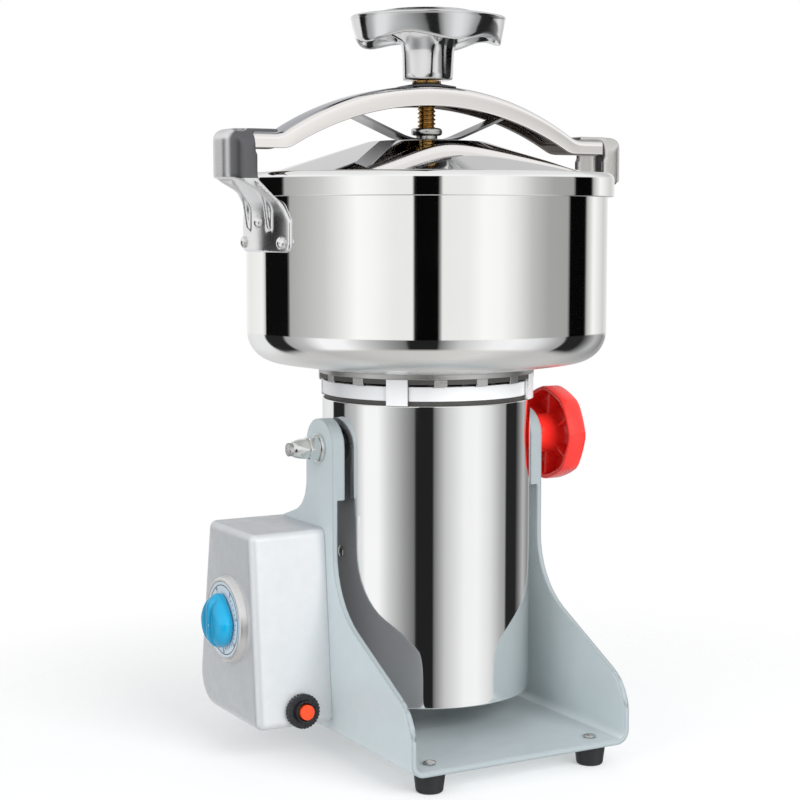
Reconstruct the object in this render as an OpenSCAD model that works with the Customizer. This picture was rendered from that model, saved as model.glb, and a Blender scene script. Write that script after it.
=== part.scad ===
// Electric grain mill: a polished bowl on a motor housing that swings in a bent sheet frame.
// Millimetres, Z up, origin on the floor under the bowl's axis. X is the swing axis.

/* [Frame] */
// Room between the motor tube and each upright
side_room = 6.85; // [5:0.05:12]
// Depth of the frame from front to back
frame_d = 226.4; // [200:1:260]
// Thickness of the frame sheet
plate_t = 3; // [2:0.25:4]
// Outer radius of the bend between plate and upright
bend_r = 8; // [5:0.5:10]
// Height of the swing axis above the floor
pivot_z = 186; // [184:0.5:196]
// Width of an upright at the swing axis
post_w = 35; // [30:0.5:44]
// Width of the rim turned inwards round the top of an upright
rim_w = 8; // [5:0.25:9]
// How far the turned rim runs down below the swing axis
rim_drop = 30; // [20:1:34]
// Slope of the front wing of an upright, degrees
front_slope = 26.5; // [20:0.5:32]
// Height above the floor where the front wing would meet the upright's edge
front_wing_z = 95; // [80:1:105]
// Radius of the hollow between the front wing and the upright
front_hollow_r = 49; // [30:1:55]
// Slope of the back wing of an upright, degrees
back_slope = 17.6; // [14:0.2:24]
// Height above the floor where the back wing would meet the upright's edge
back_wing_z = 149; // [140:1:152]
// Radius of the hollow between the back wing and the upright
back_hollow_r = 22; // [12:1:26]
// Radius of the round nose of each wing
nose_r = 27; // [10:1:30]

/* [Feet] */
// Height of a rubber foot
foot_h = 12.8; // [10:0.2:16]
// Diameter of a foot under the plate
foot_top_d = 18.8; // [16:0.2:22]
// Diameter of a foot on the floor
foot_floor_d = 15.5; // [12:0.1:16]
// Distance of a foot's middle inside the frame's side
foot_in_x = 18.85; // [17:0.05:26]
// Distance of a foot's middle inside the frame's front or back edge
foot_in_y = 13.2; // [11:0.1:30]

/* [Switch box] */
// How far the box stands out from the upright
box_out = 48.6; // [44:0.2:60]
// Height of the box's underside above the floor
box_z0 = 21.5; // [18:0.5:26]
// Height of the box
box_h = 116.5; // [110:0.5:118]
// Reach of the box's foot in front of the swing axis
box_front = 16.6; // [14:0.2:19]
// Reach of the box's top behind the swing axis
box_back = 57; // [52:0.5:64]
// Lean of the front wall between foot and top
box_front_lean = 10; // [0:0.5:12]
// Lean of the back wall between foot and top
box_back_lean = 19; // [0:0.5:22]
// Radius of the box's rounded edges
box_r = 5; // [3:0.25:7]
// Radius of the box's lower back corner
box_heel_r = 20; // [8:1:26]
// Wall of the box
box_t = 2.5; // [1.5:0.25:3.5]

/* [Timer] */
// Height of the timer's axis in the box, as a share of the box's height
timer_share = 0.5193; // [0.5:0.0001:0.56]
// Distance of the timer's axis behind the swing axis
timer_y = 25; // [22:0.5:30]
// Diameter of the raised ring round the dial
timer_ring_d = 53; // [50:0.5:56]
// Height of the raised ring
timer_ring_h = 4.5; // [3:0.25:6]
// Diameter of the dial disc
dial_d = 46; // [42:0.5:48]
// Diameter of the timer knob
timer_knob_d = 33; // [28:0.5:36]
// Height of the timer knob's disc
timer_knob_h = 5.5; // [4.5:0.25:7]
// Height of the grip bar over the disc
timer_grip_h = 4.7; // [3:0.1:6]

/* [Overload switch] */
// Height of the overload button above the floor
reset_z = 31.5; // [30:0.25:34]
// Distance of the overload button outside the upright
reset_out = 20.4; // [16:0.2:30]
// Diameter of the knurled ring
reset_ring_d = 20.6; // [18:0.2:22]
// Diameter of the red button
reset_button_d = 9; // [7:0.1:9.4]
// Travel of the button
reset_travel = 2.5; // [1.5:0.25:3]

/* [Motor housing] */
// Outer diameter of the polished motor tube
tube_d = 128; // [122:0.5:128.6]
// Wall of the motor tube
tube_t = 1.2; // [0.8:0.1:2]
// Height of the tube's lower edge above the floor
tube_z0 = 33.5; // [30:0.5:40]
// Height of the tube's upper edge above the floor
tube_z1 = 213.6; // [211:0.2:214]
// Diameter of the motor shaft
shaft_d = 15; // [12:0.5:17]
// Height of the stator stack
stator_h = 70; // [50:1:76]
// Diameter of the rotor core, as a share of the motor's inner diameter
rotor_share = 0.448; // [0.4:0.002:0.47]
// Air gap between rotor and stator
air_gap = 0.6; // [0.4:0.05:1]

/* [Neck casting] */
// Height of the machined ring's lower face above the floor
ring_z0 = 216.6; // [216:0.2:217.4]
// Height of the machined ring
ring_h = 8.1; // [6:0.1:8.6]
// How far the machined ring stays inside the tube's surface
ring_inset = 0.5; // [0.1:0.1:2]
// How far the flange under the bowl reaches past the tube
neck_over = 2; // [0:0.1:5]
// Number of vent ribs under the bowl
vent_count = 20; // [12:4:28]
// Width of the four bright lugs
lug_w = 13; // [9:0.5:16]

/* [Bowl] */
// Height of the bowl's underside above the floor
bowl_z0 = 232; // [231:0.5:236]
// Height of the bowl's rim above the floor
bowl_z1 = 346.5; // [336:0.5:350]
// Outer diameter of the bowl
bowl_d = 220; // [218:0.5:221]
// Wall of the bowl
bowl_t = 2; // [1.5:0.25:2.5]
// Slope of the underside, degrees
bowl_slope = 8.5; // [5:0.5:10]
// Radius of the bowl's lower corner
bowl_r = 19; // [12:1:24]

/* [Lid] */
// How far the lid's skirt stands out from the bowl's wall
lid_over = 3.9; // [3:0.1:4.3]
// Depth of the lid's skirt
skirt_h = 14.3; // [10:0.2:18]
// Thickness of the lid
lid_t = 1.6; // [1.2:0.1:2]
// Thickness of the pressed seal
seal_t = 1.5; // [1:0.1:3]
// Rise of the lid's cone from rim to crown
lid_rise = 19.3; // [15:0.1:20]
// Diameter of the flat crown
crown_d = 72; // [60:1:80]

/* [Clamp beam] */
// Width of the beam
beam_w = 24; // [21:0.5:26]
// Thickness of the beam's sheet
beam_t = 2.5; // [2:0.1:3]
// Height of the beam's top above the floor, in the middle
beam_z = 402.1; // [400:0.5:406]
// Depth of the beam's flanks in the middle
beam_h = 12.1; // [11:0.1:14]
// Depth of the beam's flat ends
beam_end_h = 8.6; // [7.5:0.1:10]
// Drop of the beam from its middle to its ends
beam_drop = 30.5; // [28:0.5:32]
// Length of the beam's flat end inside an ear's inner side
beam_flat = 14; // [8:0.5:20]
// Thickness of the dark washer on the beam
beam_washer_t = 1.6; // [1:0.1:2]
// Diameter of the washer on the beam
beam_washer_d = 36; // [30:0.5:40]

/* [Ears] */
// Distance of an ear's mouth from the bowl's wall
ear_stand = 11; // [8:0.5:13]
// Depth of an ear's hood from its mouth to its outer face
ear_depth = 16.5; // [13:0.5:21]
// Width of an ear's hood
ear_w = 33; // [30:0.5:36]
// Height of an ear's hood
ear_h = 28.4; // [26:0.2:31]
// Wall of an ear's hood
ear_t = 4; // [3:0.25:4.5]
// Thickness of an ear's roof
roof_t = 2.4; // [1.8:0.1:3]
// Reach of the roof lip over the beam, inside the mouth
lip_reach = 16; // [8:0.5:18]
// Radius of the hood's two upright outer corners
hood_round = 11; // [6:0.5:12]
// Width of an ear's foot on the bowl
ear_foot_w = 64; // [56:1:70]
// Height of an ear's foot above the floor
ear_foot_z = 303; // [298:0.5:306]

/* [Clamp screw] */
// Diameter of the brass clamp screw
screw_d = 11.2; // [9:0.1:12]
// Lead of the clamp screw
screw_lead = 2.5; // [2:0.25:3]
// Diameter of the steel collar
collar_d = 19.2; // [16:0.2:22]
// Thickness of the collar
collar_h = 4.8; // [3.5:0.1:5]
// Gap shown between the crown and the collar
neck_h = 3.5; // [2.5:0.1:4]
// Diameter of the screw's neck
neck_pin_d = 11.6; // [8:0.1:12]

/* [Hand wheel] */
// Diameter of the hand wheel over its lobes
wheel_d = 95.6; // [84:0.5:104]
// Number of lobes
wheel_lobes = 5; // [4:1:7]
// Depth of the hollows between the lobes
wheel_lobe = 1.6; // [0.6:0.1:2.4]
// Height of the hand wheel's rim
wheel_rim_h = 16.5; // [14:0.5:20]
// Draw of the rim from top to foot
wheel_draw = 3; // [1:0.25:4]
// Wall of the hand wheel
wheel_t = 2.6; // [2:0.1:3.5]
// Crown of the hand wheel's top
wheel_crown = 4.4; // [2:0.1:5]
// Height of the scallops in the lower edge
scallop_h = 4.1; // [2:0.1:5]
// Height of the hand wheel over all
wheel_h = 41.7; // [38:0.5:44]
// Diameter of the hub at its foot
hub_d = 32; // [27:0.5:34]

/* [Lock knob] */
// Diameter of the red lock knob
lock_d = 60; // [52:1:66]
// Number of facets round the lock knob
lock_lobes = 8; // [6:1:10]
// Width of the lock knob's rim
lock_rim_h = 13.7; // [11:0.1:16]
// Distance from the clamp washer to the knob's rim
lock_stand = 11.2; // [8:0.2:13]
// Diameter of the lock knob's hub
lock_hub_d = 25; // [21:0.5:27]
// Wall of the lock knob
lock_t = 2.4; // [1.8:0.1:3]

/* [Pivot] */
// Diameter of the pivot studs
stud_d = 8; // [7:0.5:9]
// Width across the flats of the pivot nuts
nut_af = 13; // [12:0.5:15]
// Thickness of a pivot nut
nut_h = 6.5; // [5:0.1:8]

/* [Blades] */
// Distance between the lowest blade's tip and the bowl's wall
blade_play = 10; // [8:1:28]
// Width of a blade
blade_w = 26; // [20:0.5:30]
// Thickness of a blade
blade_t = 3; // [2:0.25:4]
// Distance between blade layers
blade_pitch = 13; // [10:0.5:14]

/* [Hidden] */
$fn = 96;

// Overrun of every cut
cut = 1;
// Radial clearance of a running fit
fit = 0.06;
// Gap between faces that pass each other
gap = 0.3;
// Steps in a rounded corner of an outline
arc_steps = 8;

// Unit vector along v
function unit(v) = v / norm(v);

// Points of the round corner of radius r at p, between its neighbours a and b
function corner(a, p, b, r) =
    r <= 0 ? [p] :
    let (u = unit(a - p), v = unit(b - p))
    let (half = acos(u * v) / 2)
    let (c = p + unit(u + v) * r / sin(half))
    let (s = p + u * r / tan(half) - c, e = p + v * r / tan(half) - c)
    let (start = atan2(s[1], s[0]), turn = atan2(s[0] * e[1] - s[1] * e[0], s * e))
    [for (i = [0:arc_steps])
        c + r * [cos(start + turn * i / arc_steps), sin(start + turn * i / arc_steps)]];

// Closed outline through corners given as [x, y, radius]
function outline(q) =
    let (n = len(q), p = [for (k = q) [k[0], k[1]]])
    [for (i = [0:n - 1]) each corner(p[(i + n - 1) % n], p[i], p[(i + 1) % n], q[i][2])];

// Height of a circle of radius r over a chord point x, measured from the circle's top
function sag(r, x) = r - sqrt(r * r - x * x);

// Extrudes an outline drawn in Y and Z from x0 to x1
module along_x(x0, x1) {
    translate([x0, 0, 0]) rotate([90, 0, 90]) linear_extrude(x1 - x0) children();
}

// Extrudes an outline drawn in X and Z from y0 to y1
module along_y(y0, y1) {
    translate([0, y1, 0]) rotate([90, 0, 0]) linear_extrude(y1 - y0) children();
}

// Round bar between heights z0 and z1
module post(r, z0, z1) {
    translate([0, 0, z0]) cylinder(r = r, h = z1 - z0);
}

// Round bar on the swing axis between x0 and x1
module axle(r, x0, x1) {
    translate([x0, 0, pivot_z]) rotate([0, 90, 0]) cylinder(r = r, h = x1 - x0);
}

// Ring between radii r0 and r1 and heights z0 and z1
module ring(r0, r1, z0, z1) {
    difference() {
        post(r1, z0, z1);
        post(r0, z0 - cut, z1 + cut);
    }
}

// Hexagon bar, flats af apart
module hex_bar(af, h) {
    cylinder(d = af / cos(30), h = h, $fn = 6);
}

// Flat slot of width w with round ends, from x0 to x1
module slot(x0, x1, w) {
    translate([x0, -w / 2]) square([x1 - x0, w]);
    for (x = [x0, x1]) translate([x, 0]) circle(d = w);
}

// Frame
plate_z = foot_h;
plate_top = plate_z + plate_t;
post_y = post_w / 2;
front_y = -frame_d / 2;
back_y = frame_d / 2;
wing_run = frame_d / 2 - post_y;
front_nose_z = front_wing_z - wing_run * tan(front_slope);
back_nose_z = back_wing_z - wing_run * tan(back_slope);
inner_x = tube_d / 2 + side_room;
outer_x = inner_x + plate_t;
foot_screw_d = 4;
foot_head_d = 7.4;
foot_head_h = 2.2;
foot_edge_r = 1.5;
foot_screw_depth_share = 0.7;

// Side outline of both uprights and the plate, front at the left
function upright_outline() = outline([
    [front_y, plate_z, 0],
    [back_y, plate_z, 0],
    [back_y, back_nose_z, nose_r],
    [post_y, back_wing_z, back_hollow_r],
    [post_y, pivot_z + post_y, post_y * tip_share],
    [-post_y, pivot_z + post_y, post_y * tip_share],
    [-post_y, front_wing_z, front_hollow_r],
    [front_y, front_nose_z, nose_r]
]);
tip_share = 0.98;

// Outline of the turned rim, moved in by d
function rim_outline(d) = outline([
    [post_y - d, pivot_z - rim_drop - (d > 0 ? cut : 0), 0],
    [post_y - d, pivot_z + post_y - d, (post_y - d) * tip_share],
    [-post_y + d, pivot_z + post_y - d, (post_y - d) * tip_share],
    [-post_y + d, pivot_z - rim_drop - (d > 0 ? cut : 0), 0]
]);

module base_frame() {
    top = pivot_z + post_w;
    color("lightsteelblue") difference() {
        union() {
            intersection() {
                along_y(front_y, back_y) polygon(outline([
                    [-outer_x, top, 0],
                    [-outer_x, plate_z, bend_r],
                    [outer_x, plate_z, bend_r],
                    [outer_x, top, 0],
                    [inner_x, top, 0],
                    [inner_x, plate_top, bend_r - plate_t],
                    [-inner_x, plate_top, bend_r - plate_t],
                    [-inner_x, top, 0]
                ]));
                along_x(-outer_x - cut, outer_x + cut) polygon(upright_outline());
            }
            for (side = [0, 1]) mirror([side, 0, 0]) difference() {
                along_x(outer_x - rim_w, outer_x - plate_t / 2) polygon(rim_outline(0));
                along_x(outer_x - rim_w - cut, outer_x) polygon(rim_outline(plate_t));
            }
        }
        axle(stud_d / 2 + fit, -outer_x - cut, outer_x + cut);
        at_feet() post(foot_screw_d / 2 + fit, plate_z - cut, plate_top + cut);
        at_box_screws() translate([-outer_x - cut, 0, 0]) rotate([0, 90, 0])
            cylinder(d = box_screw_d + 2 * fit, h = plate_t + 2 * cut);
        translate([-outer_x - cut, lead_hole_y, lead_hole_z]) rotate([0, 90, 0])
            cylinder(d = lead_hole_d, h = plate_t + 2 * cut);
    }
}
lead_hole_d = 12;
lead_hole_shares = [0.5, 0.12];
lead_hole_y = box_back * lead_hole_shares[0];
lead_hole_z = box_z0 + box_h * lead_hole_shares[1];

module at_feet() {
    for (x = [-1, 1], y = [-1, 1])
        translate([x * (outer_x - foot_in_x), y * (frame_d / 2 - foot_in_y), 0]) children();
}

module rubber_feet() {
    color([0.14, 0.15, 0.17]) at_feet() difference() {
        rotate_extrude() polygon(outline([
            [0, 0, 0],
            [foot_floor_d / 2, 0, foot_edge_r],
            [foot_top_d / 2, foot_h, 0],
            [0, foot_h, 0]
        ]));
        post(foot_screw_d / 2, foot_h * (1 - foot_screw_depth_share), foot_h + cut);
    }
}

module foot_screws() {
    color("silver") at_feet() {
        post(foot_screw_d / 2, foot_h * (1 - foot_screw_depth_share), plate_top);
        translate([0, 0, plate_top]) intersection() {
            cylinder(d = foot_head_d, h = foot_head_h);
            translate([0, 0, foot_head_h - foot_head_d]) sphere(r = foot_head_d);
        }
    }
}

// Switch box
box_x0 = -outer_x;
box_x1 = -outer_x - box_out;
box_z1 = box_z0 + box_h;
box_lean = atan(box_front_lean / box_h);
box_screw_d = 4;
box_screw_head_d = 7;
box_screw_head_h = 2.4;
box_screw_len = 10;
box_boss_d = 9;
box_screw_y_shares = [0.1, 0.85];
box_screw_z_shares = [0.3, 0.86];

heel_share = 1.2;

// Side outline of the box, moved in by d
function box_outline(d) = outline([
    [-box_front + d, box_z0 + d, max(box_r - d, box_t)],
    [box_back + box_back_lean - d * heel_share, box_z0 + d, box_heel_r - d],
    [box_back - d, box_z1 - d, max(box_r - d, box_t)],
    [-box_front + box_front_lean + d, box_z1 - d, max(box_r - d, box_t)]
]);

// Places the four fixing screws, on the box side of the upright
module at_box_screws() {
    for (y = box_screw_y_shares, z = box_screw_z_shares)
        translate([0, -box_front + box_front_lean + y * (box_front + box_back - box_front_lean),
            box_z0 + z * box_h]) children();
}

// Places a piece on the timer's axis, its Z outwards from the box
module at_timer() {
    translate([box_x1, timer_y, timer_z]) rotate([0, -90, 0]) children();
}

// Places a piece on the overload switch's axis, its Z outwards from the leaning front
module at_reset() {
    translate([-outer_x - reset_out, reset_face_y, reset_z]) rotate([90 - box_lean, 0, 0]) children();
}
reset_face_y = -box_front + (reset_z - box_z0) * tan(box_lean);
reset_neck_wall = 2.1;
reset_neck_d = reset_button_d + 2 * reset_neck_wall;
reset_nut_h = 4;
reset_collar_out = 6.5;
reset_button_out = 9.2;
reset_body_w = 15;
reset_body_h = 10;
reset_body_len = 20;
timer_z = box_z0 + box_h * timer_share;
timer_shaft_d = 6;
timer_bush_d = 10;
timer_body_w = 2 * (timer_z - box_z0 - box_h * box_screw_z_shares[0] - box_boss_d / 2 - fit);
timer_body_l = 46;
timer_body_h = 26;
dial_t = 1.2;
ring_bevel = 1.6;

module switch_box() {
    steps = 4;
    color("silver") difference() {
        union() {
            difference() {
                hull() {
                    along_x(box_x1 + box_r, box_x0) polygon(box_outline(0));
                    for (i = [1:steps]) {
                        a = 90 * i / steps;
                        along_x(box_x1 + box_r * (1 - sin(a)), box_x0)
                            polygon(box_outline(box_r * (1 - cos(a))));
                    }
                }
                along_x(box_x1 + box_t, box_x0 + cut) polygon(box_outline(box_t));
            }
            at_timer() rotate_extrude() polygon([
                [0, -box_t],
                [timer_ring_d / 2, -box_t],
                [timer_ring_d / 2, 0],
                [timer_ring_d / 2 - ring_bevel, timer_ring_h],
                [0, timer_ring_h]
            ]);
            at_box_screws() translate([box_x0 - box_screw_len, 0, 0]) rotate([0, 90, 0])
                cylinder(d = box_boss_d, h = box_screw_len);
            at_box_screws() translate([box_x1 + box_t / 2, 0, 0]) rotate([0, 90, 0])
                cylinder(d = box_boss_d, h = box_out - box_screw_len);
        }
        at_timer() post(dial_d / 2 + fit, timer_ring_h - dial_t, timer_ring_h + cut);
        at_timer() post(timer_bush_d / 2 + fit, -box_t - cut, timer_ring_h);
        at_reset() post(reset_neck_d / 2 + fit, -box_t * 2, box_t);
        at_box_screws() translate([box_x0 - box_screw_len, 0, 0]) rotate([0, 90, 0])
            cylinder(d = box_screw_d, h = box_screw_len + cut);
        at_inlet() post(inlet_neck_d / 2 + fit, -box_t * 2, box_t * 2);
    }
}

module box_screws() {
    color("silver") at_box_screws() {
        translate([box_x0 - box_screw_len, 0, 0]) rotate([0, 90, 0])
            cylinder(d = box_screw_d, h = box_screw_len + plate_t);
        translate([-inner_x, 0, 0]) rotate([0, 90, 0]) intersection() {
            cylinder(d = box_screw_head_d, h = box_screw_head_h);
            translate([0, 0, box_screw_head_h - box_screw_head_d]) sphere(r = box_screw_head_d);
        }
    }
}

// Cable inlet in the box's back wall
inlet_neck_d = 12;
inlet_d = 17;
inlet_out = 9;
inlet_bore_d = 7.5;
inlet_nut_h = 5;
inlet_z_share = 0.36;
box_back_tilt = atan(box_back_lean / box_h);
inlet_z = box_z0 + box_h * inlet_z_share;
inlet_y = box_back + box_back_lean * (1 - inlet_z_share);

// Places a piece on the inlet's axis, its Z outwards from the leaning back wall
module at_inlet() {
    translate([(box_x0 + box_x1) / 2, inlet_y, inlet_z]) rotate([-90 + box_back_tilt, 0, 0]) children();
}

module cable_inlet() {
    color([0.14, 0.15, 0.17]) at_inlet() difference() {
        union() {
            rotate_extrude() polygon(outline([
                [0, 0, 0],
                [inlet_d / 2, 0, 0],
                [inlet_d / 2, inlet_out / 2, foot_edge_r],
                [inlet_neck_d / 2, inlet_out, foot_edge_r],
                [0, inlet_out, 0]
            ]));
            post(inlet_neck_d / 2, -box_t - inlet_nut_h, cut);
            translate([0, 0, -box_t - inlet_nut_h - gap]) hex_bar(inlet_d, inlet_nut_h);
        }
        post(inlet_bore_d / 2, -box_t - inlet_nut_h - cut, inlet_out + cut);
    }
}

module timer_dial() {
    color("whitesmoke") at_timer() difference() {
        post(dial_d / 2, timer_ring_h - dial_t, timer_ring_h);
        post(timer_bush_d / 2 + fit, timer_ring_h - dial_t - cut, timer_ring_h + cut);
    }
}

module timer_body() {
    color("gainsboro") at_timer() difference() {
        union() {
            translate([0, 0, -box_t - timer_body_h / 2])
                cube([timer_body_w, timer_body_l, timer_body_h], center = true);
            post(timer_bush_d / 2, -box_t - cut, timer_ring_h);
        }
        post(timer_shaft_d / 2 + fit, -box_t - timer_body_h / 2, timer_ring_h + cut);
    }
}

module timer_shaft() {
    top = timer_ring_h + gap + timer_knob_h;
    color("silver") at_timer() post(timer_shaft_d / 2, gap - box_t - timer_body_h / 2, top);
}

// Plan of the timer knob's grip bar, a long drop that points up
function grip_outline() = timer_knob_d * outline([
    [-grip_shares[0], 0, 0.09],
    [-0.1, -grip_shares[1], 0.2],
    [grip_shares[0], -grip_shares[2], 0.04],
    [grip_shares[0], grip_shares[2], 0.04],
    [-0.1, grip_shares[1], 0.2]
]);
grip_shares = [0.42, 0.14, 0.06];
knob_bevel = 2;

module timer_knob() {
    z0 = timer_ring_h + gap;
    color("deepskyblue") at_timer() difference() {
        union() {
            translate([0, 0, z0]) rotate_extrude() polygon(outline([
                [0, 0, 0],
                [timer_knob_d / 2, 0, 0],
                [timer_knob_d / 2 - knob_bevel / 2, timer_knob_h, knob_bevel],
                [0, timer_knob_h, 0]
            ]));
            translate([0, 0, z0]) linear_extrude(timer_knob_h + timer_grip_h)
                polygon(grip_outline());
        }
        post(timer_shaft_d / 2, z0 - cut, z0 + timer_knob_h);
    }
}

module overload_body() {
    color([0.16, 0.16, 0.18]) at_reset() difference() {
        union() {
            translate([-reset_body_w / 2, -reset_body_h / 2, -box_t - gap - reset_body_len])
                cube([reset_body_w, reset_body_h, reset_body_len]);
            post(reset_neck_d / 2, -box_t - gap - cut, reset_collar_out);
        }
        post(reset_button_d / 2 + fit, -reset_travel - 2 * gap, reset_collar_out + cut);
    }
}

// Ring nut with a knurled edge: small rounds are cut round its rim
knurl_count = 30;
knurl_share = 0.5;
module overload_nut() {
    r = reset_ring_d / 2;
    knurl = PI * r / knurl_count * knurl_share;
    color([0.16, 0.16, 0.18]) at_reset() difference() {
        post(r, 0, reset_nut_h);
        post(reset_neck_d / 2 + fit, -cut, reset_nut_h + cut);
        for (i = [0:knurl_count - 1]) rotate([0, 0, 360 * i / knurl_count])
            translate([r, 0, -cut]) cylinder(r = knurl, h = reset_nut_h + 2 * cut, $fn = 16);
    }
}

module reset_button() {
    color("red") at_reset() rotate_extrude() polygon(outline([
        [0, -gap, 0],
        [reset_button_d / 2, -gap, 0],
        [reset_button_d / 2, reset_button_out, reset_button_d / 12],
        [0, reset_button_out, 0]
    ]));
}

// Motor housing
tube_r = tube_d / 2;
tube_in = tube_r - tube_t;
inner_r = tube_in - gap;
shaft_r = shaft_d / 2;
cover_t = 3;
cover_lip_h = 9;
cover_lip_t = 3;
cover_slot_w = 5;
cover_slot_count = 12;
cover_slot_shares = [0.32, 0.66];
cover_screw_d = 4;
cover_screw_head_d = 7.5;
cover_screw_head_h = 2.4;
cover_screw_share = 0.79;
brush_space = 20;
bracket_z0 = tube_z0 + brush_space;
bracket_t = 10;
bearing_wall = 10;
bearing_r = shaft_r + bearing_wall;
bearing_h = 11;
boss_wall = 5;
comm_wall = 10.5;
comm_r = shaft_r + comm_wall;
comm_h = 20;
comm_gap = 5;
comm_z0 = bracket_z0 + bracket_t + comm_gap;
coil_space = 12;
stator_z0 = comm_z0 + comm_h + coil_space;
stator_z1 = stator_z0 + stator_h;
rotor_r = inner_r * rotor_share;
bore_r = rotor_r + air_gap;

module motor_housing() {
    color("gainsboro") difference() {
        post(tube_r, tube_z0, tube_z1);
        post(tube_in, tube_z0 - cut, tube_z1 + cut);
        axle(stud_d / 2 + fit, -tube_r - cut, tube_r + cut);
    }
}

module at_cover_screws() {
    for (i = [0:3]) rotate([0, 0, 45 + 90 * i])
        translate([tube_r * cover_screw_share, 0, 0]) children();
}

module bottom_cover() {
    z1 = tube_z0 + cover_t;
    color("darkgray") difference() {
        union() {
            post(inner_r, tube_z0, z1);
            ring(inner_r - cover_lip_t, inner_r, tube_z0, z1 + cover_lip_h);
            at_cover_screws() post(cover_screw_head_d / 2, tube_z0, bracket_z0);
        }
        for (i = [0:cover_slot_count - 1]) rotate([0, 0, 360 * (i + 0.5) / cover_slot_count])
            translate([0, 0, tube_z0 - cut]) linear_extrude(cover_t + 2 * cut)
                slot(inner_r * cover_slot_shares[0], inner_r * cover_slot_shares[1], cover_slot_w);
        at_cover_screws() post(cover_screw_d / 2 + fit, tube_z0 - cut, bracket_z0 + cut);
    }
}

module cover_screws() {
    color("silver") at_cover_screws() {
        post(cover_screw_d / 2, tube_z0, bracket_z0 + bracket_t / 2);
        post(cover_screw_head_d / 2, tube_z0 - cover_screw_head_h, tube_z0);
    }
}

bracket_hole_d = 20;
bracket_hole_count = 8;
bracket_hole_share = 0.64;
// Bearing bracket: a disc with round air holes and a boss round the lower bearing
module lower_bracket() {
    z1 = bracket_z0 + bracket_t;
    color("darkgray") difference() {
        union() {
            post(inner_r, bracket_z0, z1);
            post(bearing_r + boss_wall, bracket_z0, z1 + boss_wall / 2);
        }
        post(bearing_r, bracket_z0 - cut, bracket_z0 + bearing_h);
        post(shaft_r + gap * 2, bracket_z0, z1 + boss_wall);
        for (i = [0:bracket_hole_count - 1]) rotate([0, 0, 360 * (i + 0.5) / bracket_hole_count])
            translate([inner_r * bracket_hole_share, 0, 0])
                post(bracket_hole_d / 2, bracket_z0 - cut, z1 + boss_wall);
        at_cover_screws() post(cover_screw_d / 2, bracket_z0 - cut, bracket_z0 + bracket_t / 2);
    }
}

module lower_bearing() {
    color("silver") bearing(bracket_z0);
}

// Ball bearing seen as its two races and its shields
module bearing(z0) {
    race = (bearing_r - shaft_r) / 4;
    dish = bearing_h / 12;
    difference() {
        ring(shaft_r + fit, bearing_r, z0, z0 + bearing_h);
        ring(shaft_r + race, bearing_r - race, z0 - cut, z0 + dish);
        ring(shaft_r + race, bearing_r - race, z0 + bearing_h - dish, z0 + bearing_h + cut);
    }
}

// Carbon brushes run on the commutator from both sides, in holders on the bracket
brush_w = 7;
brush_h = 12;
brush_l = 18;
holder_t = 2.5;
holder_l = 20;
brush_z = comm_z0 + comm_h / 2;

module brush_holders() {
    z0 = bracket_z0 + bracket_t;
    color([0.25, 0.2, 0.16]) for (s = [0, 180]) rotate([0, 0, s]) difference() {
        translate([comm_r + 2 * holder_t, -brush_w / 2 - holder_t, z0])
            cube([holder_l, brush_w + 2 * holder_t, brush_z + brush_h / 2 + holder_t - z0]);
        translate([comm_r, -brush_w / 2 - fit, brush_z - brush_h / 2 - fit])
            cube([holder_l + 2 * holder_t, brush_w + 2 * fit, brush_h + 2 * fit]);
    }
}

module carbon_brushes() {
    color([0.12, 0.12, 0.12]) for (s = [0, 180]) rotate([0, 0, s]) difference() {
        translate([comm_r - brush_w / 4, -brush_w / 2, brush_z - brush_h / 2])
            cube([brush_l, brush_w, brush_h]);
        post(comm_r + gap / 2, comm_z0, comm_z0 + comm_h);
    }
}

// Stator stack with two pole shoes and the field coils round them
pole_w_share = 0.9;
yoke_share = 0.2;
coil_w = 9;

module stator() {
    yoke = inner_r * yoke_share;
    color("dimgray") difference() {
        post(inner_r, stator_z0, stator_z1);
        difference() {
            post(inner_r - yoke, stator_z0 - cut, stator_z1 + cut);
            translate([-bore_r * pole_w_share, -inner_r, stator_z0 - 2 * cut])
                cube([2 * bore_r * pole_w_share, 2 * inner_r, stator_h + 4 * cut]);
        }
        post(bore_r, stator_z0 - cut, stator_z1 + cut);
    }
}

module field_coils() {
    x0 = bore_r * pole_w_share + gap;
    y0 = bore_r * coil_inner_share;
    y1 = bore_r * coil_outer_share;
    color("peru") for (s = [0, 180]) rotate([0, 0, s]) difference() {
        translate([-x0 - coil_w, y0, stator_z0 - coil_w])
            cube([2 * (x0 + coil_w), y1 - y0, stator_h + 2 * coil_w]);
        translate([-x0, y0 - cut, stator_z0 - gap]) cube([2 * x0, y1 - y0 + 2 * cut, stator_h + 2 * gap]);
        post(bore_r + gap, stator_z0 - coil_w - cut, stator_z1 + coil_w + cut);
    }
}
coil_inner_share = 0.72;
coil_outer_share = 1.15;

// Pivot: a stud through each upright, screwed into a boss welded on the tube
pivot_boss_d = 20;
stud_in = 8;
washer_t = 1.6;
washer_d = 17;
side_gap = 0.2;
acorn_share = 0.9;
bolt_x = outer_x + side_gap + washer_t + 2 * nut_h + nut_h * acorn_share;
lock_x0 = outer_x + washer_t;
lock_rim_x = lock_x0 + lock_stand;
lock_end_x = lock_rim_x + lock_rim_h;
lock_travel_turns = 2;

module pivot_bosses() {
    color("darkgray") for (s = [0, 1]) mirror([s, 0, 0]) difference() {
        axle(pivot_boss_d / 2, tube_r - pivot_boss_d / 2, inner_x - side_gap);
        post(tube_r, tube_z0, tube_z1);
        axle(stud_d / 2, 0, outer_x);
    }
}

module pivot_bolt() {
    color("silver") {
        axle(stud_d / 2, -bolt_x, -tube_in + stud_in);
        translate([-tube_in + stud_in / 2, 0, pivot_z]) rotate([0, 90, 0]) hex_bar(nut_af, nut_h);
    }
}

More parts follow.
